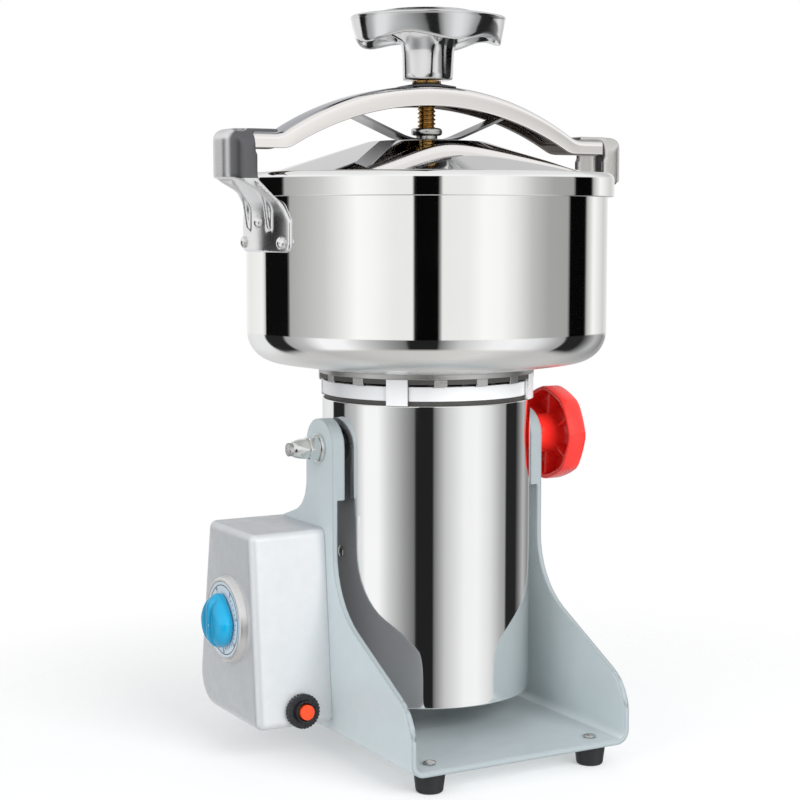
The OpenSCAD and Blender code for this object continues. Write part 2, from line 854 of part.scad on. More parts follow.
// Washer, plain nut and domed nut on the left stud
module pivot_nuts() {
    x0 = outer_x + side_gap;
    x1 = x0 + washer_t;
    x2 = x1 + nut_h;
    neck = nut_af / 2 * acorn_neck_share;
    color("silver") mirror([1, 0, 0]) difference() {
        union() {
            axle(washer_d / 2, x0, x1);
            nut(x1, nut_h);
            nut(x2, nut_h * acorn_hex_share);
            axle(neck, x2, x2 + nut_h);
            translate([x2 + nut_h * acorn_hex_share, 0, pivot_z]) rotate([0, 90, 0]) rotate_extrude()
                polygon(outline([
                    [0, 0, 0],
                    [neck, 0, 0],
                    [neck, nut_h * acorn_dome_share, nut_af / 2 * acorn_dome_r_share],
                    [0, nut_h * acorn_dome_share, 0]
                ]));
        }
        axle(stud_d / 2, 0, bolt_x);
    }
}
acorn_hex_share = 0.75;
acorn_neck_share = 0.88;
acorn_dome_share = 1.1;
acorn_dome_r_share = 0.7;
nut_bevel = 1.1;

// Hexagon nut on the swing axis with both ends turned down to a bevel
module nut(x0, h) {
    translate([x0, 0, pivot_z]) rotate([0, 90, 0]) intersection() {
        hex_bar(nut_af, h);
        rotate_extrude() polygon([
            [0, 0],
            [nut_af / 2, 0],
            [nut_af / 2 + 2 * nut_bevel, nut_bevel],
            [nut_af / 2 + 2 * nut_bevel, h - nut_bevel],
            [nut_af / 2, h],
            [0, h]
        ]);
    }
}

module lock_stud() {
    color("silver") {
        axle(stud_d / 2, tube_in - stud_in, lock_end_x - 2 * lock_t);
        translate([tube_in - stud_in / 2 - nut_h, 0, pivot_z]) rotate([0, 90, 0]) hex_bar(nut_af, nut_h);
    }
}

module lock_washer() {
    color("silver") difference() {
        axle(lock_hub_d / 2 * lock_washer_share, outer_x, lock_x0);
        axle(stud_d / 2 + fit, outer_x - cut, lock_x0 + cut);
    }
}
lock_washer_share = 1.05;
insert_wall = 2.5;

module lock_insert() {
    color("goldenrod") difference() {
        axle(stud_d / 2 + insert_wall, lock_x0, lock_end_x - lock_t);
        axle(stud_d / 2 + fit, lock_x0 - cut, lock_end_x - 2 * lock_t + gap);
    }
}

// Plan of the faceted knob at radius r: flats that meet in small rounds
function lock_plan(r) = outline([for (i = [0:lock_lobes - 1])
    let (a = 360 * (i + 0.5) / lock_lobes) [r * cos(a), r * sin(a), r / 5]]);
lock_rib_count = 6;
lock_rib_t = 1.8;
lock_flare = 3.5;

module lock_knob() {
    r = lock_d / 2;
    face = lock_rim_h - lock_t;
    color("red") translate([lock_rim_x, 0, pivot_z]) rotate([0, 90, 0]) difference() {
        union() {
            difference() {
                linear_extrude(lock_rim_h) polygon(lock_plan(r));
                translate([0, 0, -cut]) linear_extrude(face + cut) polygon(lock_plan(r - lock_t));
            }
            for (i = [0:lock_rib_count - 1]) rotate([0, 0, 360 * i / lock_rib_count])
                translate([lock_hub_d / 3, -lock_rib_t / 2, lock_rim_h * lock_rib_share])
                    cube([r - lock_t / 2 - lock_hub_d / 3, lock_rib_t, face - lock_rim_h * lock_rib_share]);
            rotate_extrude() polygon([
                [0, -lock_stand],
                [lock_hub_d / 2, -lock_stand],
                [lock_hub_d / 2 - lock_flare / 3, -lock_stand / 2],
                [lock_hub_d / 2, face - lock_flare],
                [lock_hub_d / 2 + lock_flare, face],
                [0, face]
            ]);
        }
        translate([0, 0, -lock_stand - cut])
            cylinder(r = stud_d / 2 + insert_wall, h = lock_stand + face + cut);
    }
}
lock_rib_share = 0.25;

// Neck casting: spigot in the tube, machined ring with four lugs, vents and a flange under the bowl
ring_r = tube_r - ring_inset;
ring_z1 = ring_z0 + ring_h;
neck_r = tube_r + neck_over;
neck_flange_t = 3.6;
neck_skirt_h = 2;
spigot_h = 12;
ring_wall = 8;
vent_rib_t = 3;
vent_ring_wall = 5;
casting_arm_w = 16;
upper_bearing_z = ring_z0 - bearing_h / 2;
casting_boss_r = bearing_r + boss_wall;
bowl_screw_d = 5;
bowl_screw_head_d = 9;
bowl_screw_head_h = 2.5;
bowl_screw_share = 0.62;

module at_bowl_screws() {
    for (i = [0:3]) rotate([0, 0, 90 * i]) translate([neck_r * bowl_screw_share, 0, 0]) children();
}

module neck_casting() {
    flange_z = bowl_z0 - neck_flange_t;
    spigot_z = tube_z1 - spigot_h;
    color("darkgray") difference() {
        union() {
            ring(inner_r - vent_ring_wall, inner_r, spigot_z, ring_z0 + cut);
            ring(ring_r - ring_wall, ring_r, ring_z0, ring_z1);
            post(neck_r, flange_z, bowl_z0);
            ring(neck_r - vent_ring_wall, neck_r, flange_z - neck_skirt_h, bowl_z0);
            for (i = [0:vent_count - 1]) rotate([0, 0, 360 * (i + 0.5) / vent_count])
                translate([ring_r - ring_wall * 2, -vent_rib_t / 2, ring_z1 - cut])
                    cube([ring_wall * 2 - 2 * gap, vent_rib_t, bowl_z0 - ring_z1]);
            for (i = [0:3]) rotate([0, 0, 45 + 90 * i]) intersection() {
                translate([ring_r - ring_wall, -lug_w / 2, tube_z1])
                    cube([2 * ring_wall, lug_w, bowl_z0 - tube_z1]);
                post(neck_r - gap, tube_z1, bowl_z0);
            }
            post(casting_boss_r, upper_bearing_z - boss_wall / 2, bowl_z0);
            for (a = [0, 90]) rotate([0, 0, a])
                translate([-ring_r + boss_wall, -casting_arm_w / 2, upper_bearing_z])
                    cube([2 * (ring_r - boss_wall), casting_arm_w, bowl_z0 - upper_bearing_z]);
        }
        post(bearing_r, upper_bearing_z - boss_wall, upper_bearing_z + bearing_h);
        post(shaft_r + gap * 2, tube_z1, bowl_z0 + cut);
        at_bowl_screws() post(bowl_screw_d / 2, flange_z - cut, bowl_z0 + cut);
    }
}

module upper_bearing() {
    color("silver") bearing(upper_bearing_z);
}

// Bowl: a spun shell, flat inside the neck, then a shallow cone, a round corner and a straight wall
bowl_r_out = bowl_d / 2;

function bowl_profile(d) = [
    [0, bowl_z0 + d, 0],
    [neck_r - d * tan(bowl_slope / 2), bowl_z0 + d, bowl_r],
    [bowl_r_out - d, bowl_z0 + d + (bowl_r_out - neck_r) * tan(bowl_slope), bowl_r - d],
    [bowl_r_out - d, bowl_z1 + (d > 0 ? cut : 0), 0],
    [0, bowl_z1 + (d > 0 ? cut : 0), 0]
];

module bowl() {
    color("gainsboro") difference() {
        rotate_extrude() polygon(outline(bowl_profile(0)));
        rotate_extrude() polygon(outline(bowl_profile(bowl_t)));
        post(seal_d / 2 - boss_wall, bowl_z0 - cut, bowl_z0 + 2 * bowl_t);
        at_bowl_screws() post(bowl_screw_d / 2 + fit, bowl_z0 - cut, bowl_z0 + 2 * bowl_t);
    }
}

floor_z = bowl_z0 + bowl_t;
module bowl_screws() {
    color("silver") at_bowl_screws() {
        post(bowl_screw_d / 2, bowl_z0 - neck_flange_t, floor_z);
        translate([0, 0, floor_z]) intersection() {
            cylinder(d = bowl_screw_head_d, h = bowl_screw_head_h);
            translate([0, 0, bowl_screw_head_h - bowl_screw_head_d]) sphere(r = bowl_screw_head_d);
        }
    }
}

// Seal housing round the shaft on the bowl's floor
seal_d = 46;
seal_h = 9;
module shaft_seal() {
    color("silver") difference() {
        union() {
            post(seal_d / 2 - boss_wall - gap / 2, bowl_z0, floor_z);
            translate([0, 0, floor_z]) rotate_extrude() polygon(outline([
                [0, 0, 0],
                [seal_d / 2, 0, 0],
                [seal_d / 2, seal_h / 3, seal_h / 9],
                [seal_d / 3, seal_h, seal_h / 9],
                [0, seal_h, 0]
            ]));
        }
        post(shaft_r + fit, bowl_z0 - cut, floor_z + seal_h + cut);
    }
}

// Rotor: stepped shaft with core, commutator, fan and the blade stack
blade_step = 1.5;
blade_bore_d = shaft_d - 2 * blade_step;
spacer_d = 26;
seal_gap = 4;
blade_z0 = floor_z + seal_h + seal_gap;
blade_z = [for (i = [0:2]) blade_z0 + i * blade_pitch];
blade_nut_h = 9;
nut_hex_share = 0.7;
nut_dome_share = 0.6;
blade_nut_af = 22;
shaft_z0 = bracket_z0 - seal_gap;
shaft_top = blade_z[2] + blade_t + blade_nut_h * nut_hex_share;
journal_z = floor_z + seal_h + gap;
blade_angles = [20, 80, 140];
fan_gap = 3;
fan_z0 = stator_z1 + coil_w + fan_gap;
fan_h = 12;
fan_side_gap = 6;
fan_r = tube_in - stud_in - fan_side_gap;
fan_blades = 9;

module motor_shaft() {
    color("silver") {
        post(shaft_r, shaft_z0, journal_z);
        post(blade_bore_d / 2, journal_z - cut, shaft_top);
    }
}

module rotor_core() {
    slots = 12;
    slot_w = 3;
    color("peru") difference() {
        union() {
            post(rotor_r, stator_z0, stator_z1);
            post(rotor_r * coil_nest_share, stator_z0 - coil_w, stator_z1 + coil_w);
        }
        for (i = [0:slots - 1]) rotate([0, 0, 360 * i / slots])
            translate([rotor_r - slot_w, -slot_w / 2, stator_z0 - cut])
                cube([2 * slot_w, slot_w, stator_h + 2 * cut]);
        post(shaft_r, stator_z0 - coil_w - cut, stator_z1 + coil_w + cut);
    }
}
coil_nest_share = 0.86;

module commutator() {
    bars = 18;
    groove = 0.8;
    color("chocolate") difference() {
        post(comm_r, comm_z0, comm_z0 + comm_h);
        for (i = [0:bars - 1]) rotate([0, 0, 360 * i / bars])
            translate([comm_r - groove, -groove / 2, comm_z0 - cut])
                cube([2 * groove, groove, comm_h + 2 * cut]);
        post(shaft_r, comm_z0 - cut, comm_z0 + comm_h + cut);
    }
}

module cooling_fan() {
    vane_t = 1.6;
    color([0.2, 0.2, 0.22]) difference() {
        union() {
            post(fan_r, fan_z0, fan_z0 + vane_t);
            post(bearing_r, fan_z0, fan_z0 + fan_h);
            for (i = [0:fan_blades - 1]) rotate([0, 0, 360 * i / fan_blades])
                translate([bearing_r - vane_t, -vane_t / 2, fan_z0]) rotate([0, 0, 12])
                    cube([fan_r - bearing_r, vane_t, fan_h]);
        }
        post(shaft_r, fan_z0 - cut, fan_z0 + fan_h + cut);
    }
}

// Half blade along +X: a bar ground to an edge on its leading side, with a raked tip
module half_blade(reach, bend) {
    flat_x = reach * (bend == 0 ? 1 : bend_share);
    tip = reach - flat_x;
    intersection() {
        along_x(0, flat_x) polygon([
            [-blade_w / 2, 0],
            [blade_w / 2, 0],
            [blade_w / 2, blade_t * edge_share],
            [blade_w / 2 - blade_w * grind_share, blade_t],
            [-blade_w / 2, blade_t]
        ]);
        translate([0, 0, -cut]) linear_extrude(blade_t + 2 * cut) polygon([
            [0, -blade_w / 2],
            [flat_x - blade_w * rake_share, -blade_w / 2],
            [flat_x, -blade_w / 4],
            [flat_x, blade_w / 2],
            [0, blade_w / 2]
        ]);
    }
    if (bend > 0) translate([flat_x, 0, 0]) rotate([0, -bend, 0]) translate([0, 0, -gap])
        linear_extrude(blade_t) polygon([
            [-blade_t, -blade_w / 4 + tip_inset],
            [tip / 2, -blade_w / 4 + tip_inset],
            [tip, blade_w / 4],
            [tip, blade_w / 2 - tip_inset],
            [-blade_t, blade_w / 2 - tip_inset]
        ]);
}
blade_r = bowl_r_out - bowl_t - blade_play;
tip_inset = 1;
edge_share = 0.25;
grind_share = 0.35;
rake_share = 0.5;
bend_share = 0.72;
middle_share = 0.9;
upper_share = 0.78;
middle_bend = 20;
upper_bend = 38;

// Whole blade of the given layer, turned to its angle on the shaft
module blade(layer, reach, bend) {
    place = [0, 0, blade_z[layer]];
    color("gainsboro") translate(place) rotate([0, 0, blade_angles[layer]]) difference() {
        union() {
            half_blade(reach, bend);
            rotate([0, 0, 180]) half_blade(reach, bend);
        }
        post(blade_bore_d / 2, -cut, blade_t + cut);
    }
}

module lower_blade() {
    blade(0, blade_r, 0);
}

module middle_blade() {
    blade(1, blade_r * middle_share, middle_bend);
}

module upper_blade() {
    blade(2, blade_r * upper_share, upper_bend);
}

module blade_spacers() {
    color("silver") {
        ring(blade_bore_d / 2, spacer_d / 2, journal_z, blade_z[0]);
        for (i = [0, 1]) ring(blade_bore_d / 2, spacer_d / 2, blade_z[i] + blade_t, blade_z[i + 1]);
    }
}

module blade_nut() {
    z0 = blade_z[2] + blade_t;
    color("silver") difference() {
        union() {
            translate([0, 0, z0]) hex_bar(blade_nut_af, blade_nut_h * nut_hex_share);
            translate([0, 0, z0 + blade_nut_h * nut_dome_share]) rotate_extrude() polygon(outline([
                [0, 0, 0],
                [blade_nut_af / 2 * acorn_neck_share, 0, 0],
                [blade_nut_af / 2 * acorn_neck_share, blade_nut_h * nut_dome_share, blade_nut_af / 4],
                [0, blade_nut_h * nut_dome_share, 0]
            ]));
        }
        post(blade_bore_d / 2, z0 - cut, shaft_top);
    }
}

// Ears: cast hoods that hold the beam down, each on a ribbed strut screwed to the bowl
beam_end_z = beam_z - beam_drop;
ear_z1 = beam_end_z + roof_t;
ear_z0 = ear_z1 - ear_h;
foot_t = 3;
foot_r = bowl_r_out + foot_t;
ear_foot_h = 19;
ear_corner_r = 8;
ear_arch_r = 10;
pocket_side = 0.6;
pocket_floor_t = 3.5;
strut_t = 3.6;
strut_bend_z = 329.5;
strut_bend_r = 12;
ear_rib_w = 5;
rib_z0 = 316;
rib_lift = 7;
ear_in = bowl_r_out + ear_stand;
ear_out = ear_in + ear_depth;
lid_r = bowl_r_out + lid_over;
lid_side_gap = 0.8;
strut_in_r = lid_r + lid_side_gap;
skirt_foot_z = bowl_z1 + seal_t + lid_t - skirt_h;
ear_screw_d = 4;
ear_screw_head_d = 7;
ear_screw_head_h = 2.6;
screw_low_share = 0.29;
screw_high_share = 0.92;
screw_side_share = 0.4;
sphere_share = 0.7;

// Outline of an ear in Y and Z: wide foot, hollow flanks and arched hood
function ear_front() = outline([
    [-ear_foot_w / 2, ear_foot_z, ear_corner_r / 2],
    [ear_foot_w / 2, ear_foot_z, ear_corner_r / 2],
    [ear_foot_w / 2, ear_foot_z + ear_foot_h, ear_corner_r],
    [ear_w / 2, ear_z0, ear_corner_r],
    [ear_w / 2, ear_z1, ear_arch_r],
    [-ear_w / 2, ear_z1, ear_arch_r],
    [-ear_w / 2, ear_z0, ear_corner_r],
    [-ear_foot_w / 2, ear_foot_z + ear_foot_h, ear_corner_r]
]);

// Plan of a hood, from x0 to its rounded outer corners
function hood_plan(x0) = outline([
    [x0, -ear_w / 2, 0],
    [ear_out, -ear_w / 2, hood_round],
    [ear_out, ear_w / 2, hood_round],
    [x0, ear_w / 2, 0]
]);

// Section of foot and strut: up the bowl's wall, then out past the lid to the hood
function strut_section() = outline([
    [bowl_r_out, ear_foot_z, 0],
    [foot_r, ear_foot_z, foot_t / 4],
    [foot_r, strut_bend_z, strut_bend_r],
    [ear_in + strut_t, ear_z0, ear_corner_r],
    [ear_in + strut_t, ear_z1 - ear_h / 2, 0],
    [ear_in, ear_z1 - ear_h / 2, 0],
    [ear_in, ear_z0, ear_corner_r],
    [strut_in_r, skirt_foot_z - gap, strut_t / 2],
    [bowl_r_out, skirt_foot_z - gap - strut_t, 0]
]);

// Outline of a rib: it leaves the hood's floor and fades into the strut
function rib_side() = outline([
    [foot_r - foot_t / 2, rib_z0, 0],
    [foot_r + foot_t / 4, rib_z0, 0],
    [foot_r + strut_t, strut_bend_z + rib_lift, strut_bend_r],
    [ear_out - ear_t, ear_z0, roof_t],
    [ear_out - ear_t, ear_z0 + ear_t, 0],
    [ear_in + strut_t / 3, ear_z0 + ear_t, 0],
    [strut_in_r + strut_t / 4, skirt_foot_z, 0],
    [foot_r - foot_t / 2, strut_bend_z, 0]
]);

module at_ear_screws() {
    translate([0, 0, ear_foot_z + ear_foot_h * screw_high_share]) children();
    for (s = [-1, 1]) rotate([0, 0, s * asin(ear_foot_w * screw_side_share / foot_r)])
        translate([0, 0, ear_foot_z + ear_foot_h * screw_low_share]) children();
}

module ear() {
    color("silver") difference() {
        union() {
            intersection() {
                translate([0, 0, ear_z0]) linear_extrude(ear_h) polygon(hood_plan(ear_in));
                along_x(ear_in - cut, ear_out + cut) polygon(ear_front());
            }
            intersection() {
                rotate_extrude() polygon(strut_section());
                along_x(bowl_r_out * chord_share, ear_out) polygon(ear_front());
            }
            intersection() {
                translate([0, 0, rib_z0 - cut]) linear_extrude(ear_h * 2) polygon(hood_plan(0));
                for (y = [-ear_w / 2, ear_w / 2 - ear_rib_w]) along_y(y, y + ear_rib_w)
                    polygon(rib_side());
            }
            translate([ear_in - lip_reach, -ear_w / 2 + ear_t, ear_z1 - roof_t])
                cube([lip_reach + ear_t, ear_w - 2 * ear_t, roof_t]);
        }
        along_x(ear_in - 2 * cut, ear_out - ear_t) polygon(outline([
            [-beam_w / 2 - pocket_side, ear_z0 + pocket_floor_t, ear_corner_r / 3],
            [beam_w / 2 + pocket_side, ear_z0 + pocket_floor_t, ear_corner_r / 3],
            [beam_w / 2 + pocket_side, ear_z1 - roof_t, 0],
            [-beam_w / 2 - pocket_side, ear_z1 - roof_t, 0]
        ]));
        at_ear_screws() translate([bowl_r_out - cut, 0, 0]) rotate([0, 90, 0])
            cylinder(d = ear_screw_d + 2 * fit, h = foot_t + 2 * cut);
    }
}
chord_share = 0.7;

module left_ear() {
    mirror([1, 0, 0]) ear();
}

module right_ear() {
    ear();
}

module ear_screws() {
    head_ball_r = ear_screw_head_d * sphere_share;
    color("silver") for (s = [0, 1]) mirror([s, 0, 0]) at_ear_screws() {
        translate([bowl_r_out, 0, 0]) rotate([0, 90, 0]) cylinder(d = ear_screw_d, h = foot_t);
        translate([foot_r, 0, 0]) rotate([0, 90, 0]) intersection() {
            cylinder(d = ear_screw_head_d, h = ear_screw_head_h);
            translate([0, 0, ear_screw_head_h - head_ball_r]) sphere(r = head_ball_r);
        }
    }
}

// Clamp beam: an arched channel, open below, with flat ends in the ears
beam_x = ear_out - ear_t - gap;
beam_bend_r = 16;
beam_r = ((ear_in - beam_flat) ^ 2 + beam_drop ^ 2) / (2 * beam_drop) - beam_bend_r;
beam_under_share = 1.02;
beam_under_r = beam_r * beam_under_share;
beam_steps = 14;

// Point list of one arched line from its left end to its right end
function arch(top, end, r, x_end) =
    let (cz = top - r, dz = end + beam_bend_r - cz, reach = r + beam_bend_r)
    let (xf = sqrt(reach * reach - dz * dz), a = asin(xf / reach))
    let (half = concat(
        [for (i = [0:beam_steps]) r * [sin(a * i / beam_steps), cos(a * i / beam_steps)] + [0, cz]],
        [for (i = [1:beam_steps / 2]) let (b = a * (1 - 2 * i / beam_steps))
            [xf - beam_bend_r * sin(b), end + beam_bend_r - beam_bend_r * cos(b)]],
        [[x_end, end]]))
    concat([for (i = [len(half) - 1:-1:1]) [-half[i][0], half[i][1]]], half);

function reversed(list) = [for (i = [len(list) - 1:-1:0]) list[i]];

module clamp_beam() {
    top = arch(beam_z, beam_end_z, beam_r, beam_x);
    under = arch(beam_z - beam_h, beam_end_z - beam_end_h, beam_under_r, beam_x);
    roof = arch(beam_z - beam_t, beam_end_z - beam_t, beam_r - beam_t, beam_x - beam_t);
    below = arch(beam_z - beam_h - beam_t, beam_end_z - beam_end_h - beam_t, beam_under_r, beam_x - beam_t);
    color("gainsboro") difference() {
        along_y(-beam_w / 2, beam_w / 2) polygon(concat(top, reversed(under)));
        along_y(-beam_w / 2 + beam_t, beam_w / 2 - beam_t) polygon(concat(roof, reversed(below)));
        post(bush_d / 2 + fit, beam_z - beam_h, beam_z + cut);
    }
}
bush_d = 15;
bush_flange_d = 17.6;
bush_flange_t = 1.6;
bush_h = 7;
washer_z1 = beam_z + beam_washer_t;

module beam_washer() {
    color([0.3, 0.3, 0.33]) difference() {
        post(beam_washer_d / 2, beam_z - gap, washer_z1);
        post(bush_d / 2 + fit, beam_z - cut, washer_z1 + cut);
        along_y(-beam_washer_d, beam_washer_d)
            polygon(concat(arch(beam_z, beam_end_z, beam_r, beam_x), [[beam_x, 0], [-beam_x, 0]]));
    }
}

module threaded_bush() {
    color("goldenrod") difference() {
        union() {
            post(bush_d / 2, washer_z1 - bush_h, washer_z1);
            post(bush_flange_d / 2, washer_z1, washer_z1 + bush_flange_t);
        }
        post(screw_d / 2 + fit, washer_z1 - bush_h - cut, washer_z1 + bush_flange_t + cut);
    }
}

// Lid: skirt round the bowl's rim, cone and flat crown
lid_under_z = bowl_z1 + seal_t;
rim_z = lid_under_z + lid_t;
crown_z = rim_z + lid_rise;
lid_edge_r = 4;
shoulder = 16;
crown_edge_r = 12;
keeper_h = 6;
keeper_d = 18;

function lid_profile(d) = [
    [0, crown_z - d, 0],
    [0, skirt_foot_z - (d > 0 ? cut : 0), 0],
    [lid_r - d, skirt_foot_z - (d > 0 ? cut : 0), 0],
    [lid_r - d, rim_z - d, lid_edge_r - d],
    [lid_r - shoulder, rim_z - d, crown_edge_r],
    [crown_d / 2, crown_z - d, crown_edge_r]
];

module lid() {
    color("gainsboro") difference() {
        rotate_extrude() polygon(outline(lid_profile(0)));
        rotate_extrude() polygon(outline(lid_profile(lid_t)));
        post(neck_pin_d / 2 + fit, crown_z - cut - lid_t, crown_z + cut);
    }
}

module lid_seal() {
    color([0.85, 0.85, 0.83]) 
        ring(lid_r - shoulder + gap, lid_r - lid_edge_r - gap, bowl_z1, lid_under_z);
}

// Sprung V strap on the crown: its arms reach into the beam's channel and keep the lid from turning
hanger_side_gap = 1;
hanger_w = beam_w - 2 * (beam_t + hanger_side_gap);
hanger_t = 1.5;
hanger_foot_x = 15;
hanger_x = 50;
hanger_slope = 22;
hanger_r = 40;

module lid_hanger() {
    tip_z = crown_z + (hanger_x - hanger_foot_x) * tan(hanger_slope);
    lift = hanger_t / cos(hanger_slope);
    color("silver") difference() {
        along_y(-hanger_w / 2, hanger_w / 2) polygon(outline([
            [-hanger_foot_x, crown_z, hanger_r],
            [hanger_foot_x, crown_z, hanger_r],
            [hanger_x, tip_z, 0],
            [hanger_x, tip_z + lift, 0],
            [hanger_foot_x, crown_z + hanger_t, hanger_r],
            [-hanger_foot_x, crown_z + hanger_t, hanger_r],
            [-hanger_x, tip_z + lift, 0],
            [-hanger_x, tip_z, 0]
        ]));
        post(neck_pin_d / 2 + fit, crown_z - cut, crown_z + 2 * hanger_t);
    }
}

// Clamp screw with its collar, and a keeper under the lid
collar_z = crown_z + neck_h;
collar_top = collar_z + collar_h;
hub_gap = 0.6;
wheel_z0 = washer_z1 + bush_flange_t + hub_gap;
wheel_top = wheel_z0 + wheel_h;
screw_top = wheel_top - wheel_crown - 2 * wheel_t;
keeper_z = crown_z - lid_t - gap;

module clamp_screw() {
    color("goldenrod") {
        post(screw_d / 2, collar_top, screw_top);
        post(neck_pin_d / 2, keeper_z - keeper_h, collar_top + cut);
    }
}

module screw_collar() {
    color("silver") difference() {
        translate([0, 0, collar_z]) rotate_extrude() polygon(outline([
            [0, 0, 0],
            [collar_d / 2, 0, collar_h / 4],
            [collar_d / 2, collar_h, collar_h / 3],
            [0, collar_h, 0]
        ]));
        post(neck_pin_d / 2, collar_z - cut, collar_top + cut);
    }
}

module screw_keeper() {
    color("silver") ring(neck_pin_d / 2, keeper_d / 2, keeper_z - keeper_h, keeper_z);
}

// Plan of the hand wheel at radius r: lobes joined by shallow hollows
function wheel_plan(r) = [for (i = [0:wheel_lobes * arc_steps * 2 - 1])
    let (a = 360 * i / (wheel_lobes * arc_steps * 2))
    (r - wheel_lobe * (1 - cos(wheel_lobes * (a - lobe_angle))) / 2) * [cos(a), sin(a)]];
lobe_angle = -27;
wheel_rib_t = 2.2;
hub_draw = 0.8;
scallop_r_share = 0.85;
scallop_in_share = 0.8;
rib_foot_share = 0.25;
rib_knee_share = 0.65;
rib_depth_share = 1.4;

module hand_wheel() {
    r = wheel_d / 2;
    rim_z0 = wheel_top - wheel_crown - wheel_rim_h;
    foot_share = (r - wheel_draw) / r;
    dome_r = (r * r + wheel_crown * wheel_crown) / 2 / wheel_crown;
    scallop_r = r * scallop_r_share;
    rib_z = rim_z0 + scallop_h * rib_depth_share;
    color("gainsboro") difference() {
        union() {
            intersection() {
                difference() {
                    translate([0, 0, rim_z0])
                        linear_extrude(wheel_rim_h + wheel_crown, scale = 1 / foot_share)
                            polygon(wheel_plan(r * foot_share));
                    translate([0, 0, rim_z0 - cut])
                        linear_extrude(wheel_rim_h - wheel_t + cut, scale = 1 / foot_share)
                            polygon(wheel_plan(r * foot_share - wheel_t));
                }
                translate([0, 0, wheel_top - dome_r]) sphere(r = dome_r, $fn = 192);
            }
            for (i = [0:wheel_lobes - 1]) rotate([0, 0, lobe_angle + 360 * i / wheel_lobes])
                along_y(-wheel_rib_t / 2, wheel_rib_t / 2) polygon([
                    [hub_d / 3, rim_z0 - wheel_rim_h * rib_foot_share],
                    [hub_d / 2, rim_z0 - wheel_rim_h * rib_foot_share],
                    [hub_d * rib_knee_share, rib_z],
                    [r - wheel_draw - wheel_t, rib_z],
                    [r - wheel_draw - wheel_t, rim_z0 + wheel_rim_h - wheel_t / 2],
                    [hub_d / 3, rim_z0 + wheel_rim_h - wheel_t / 2]
                ]);
            translate([0, 0, wheel_z0]) cylinder(r1 = hub_d / 2, r2 = hub_d / 2 + hub_draw,
                h = rim_z0 + wheel_rim_h - wheel_z0);
        }
        for (i = [0:wheel_lobes - 1]) rotate([0, 0, lobe_angle + 360 * (i + 0.5) / wheel_lobes])
            translate([hub_d * scallop_in_share, 0, rim_z0 + scallop_h - scallop_r]) rotate([0, 90, 0])
                cylinder(r = scallop_r, h = wheel_d);
        post(screw_d / 2, wheel_z0 - cut, screw_top);
    }
}

base_frame();
rubber_feet();
foot_screws();
switch_box();
box_screws();
cable_inlet();
timer_dial();
timer_body();
timer_shaft();
timer_knob();
overload_body();
overload_nut();
reset_button();
motor_housing();
bottom_cover();
cover_screws();
lower_bracket();
lower_bearing();
brush_holders();
carbon_brushes();
stator();
field_coils();
pivot_bosses();
pivot_bolt();
pivot_nuts();
lock_stud();
lock_washer();
lock_insert();
lock_knob();
neck_casting();
upper_bearing();
motor_shaft();
rotor_core();
commutator();
cooling_fan();
bowl();
bowl_screws();
shaft_seal();
lower_blade();
middle_blade();
upper_blade();
blade_spacers();
blade_nut();
left_ear();
right_ear();
ear_screws();
clamp_beam();
beam_washer();
threaded_bush();
lid();
lid_seal();
lid_hanger();
clamp_screw();
screw_collar();
screw_keeper();
hand_wheel();
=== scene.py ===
import math

import bmesh
import bpy
from mathutils import Matrix, Vector


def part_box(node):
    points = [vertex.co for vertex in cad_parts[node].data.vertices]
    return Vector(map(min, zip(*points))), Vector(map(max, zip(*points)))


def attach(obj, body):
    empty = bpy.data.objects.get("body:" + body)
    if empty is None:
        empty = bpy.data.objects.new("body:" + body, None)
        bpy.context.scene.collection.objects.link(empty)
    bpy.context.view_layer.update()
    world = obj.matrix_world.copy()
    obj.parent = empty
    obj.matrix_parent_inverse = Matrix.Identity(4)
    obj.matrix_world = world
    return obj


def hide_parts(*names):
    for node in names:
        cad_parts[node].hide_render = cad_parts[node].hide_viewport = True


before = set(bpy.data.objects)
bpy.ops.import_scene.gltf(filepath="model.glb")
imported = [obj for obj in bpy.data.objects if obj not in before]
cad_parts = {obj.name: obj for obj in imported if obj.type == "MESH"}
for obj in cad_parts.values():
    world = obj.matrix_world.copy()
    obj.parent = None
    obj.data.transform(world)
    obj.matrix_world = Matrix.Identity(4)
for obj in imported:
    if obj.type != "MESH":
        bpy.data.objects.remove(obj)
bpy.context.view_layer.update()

# The view. The mill stands turned a little to its right, seen from about the height of its bowl with a
# long lens, so that its uprights hardly converge.
eye = (-0.553755, -0.963030, 0.323010)
eye_turn = (math.radians(84.246), 0, math.radians(-29.066))
eye_lens, eye_film = 81.38, 36
bpy.ops.object.select_all(action="DESELECT")
bpy.ops.object.camera_add(location=eye, rotation=eye_turn)
camera = bpy.context.object
camera.name = "viewpoint"
camera.data.lens = eye_lens
camera.data.sensor_width = eye_film
bpy.context.scene.camera = camera
bpy.context.scene.view_settings.view_transform = "Standard"


# The studio. What the polished pieces reflect is a light tent turned to face the viewpoint: white panels
# with dark slits between them in a high row for the bowl and a low row for the tube, a soft warm base for
# all that faces down, and two pale rows overhead.
def added(tree, kind, values=()):
    """A new node of a kind in a tree, with the values that are given for its inputs."""
    node = tree.nodes.new(kind)
    for socket, value in dict(values).items():
        node.inputs[socket].default_value = value
    return node


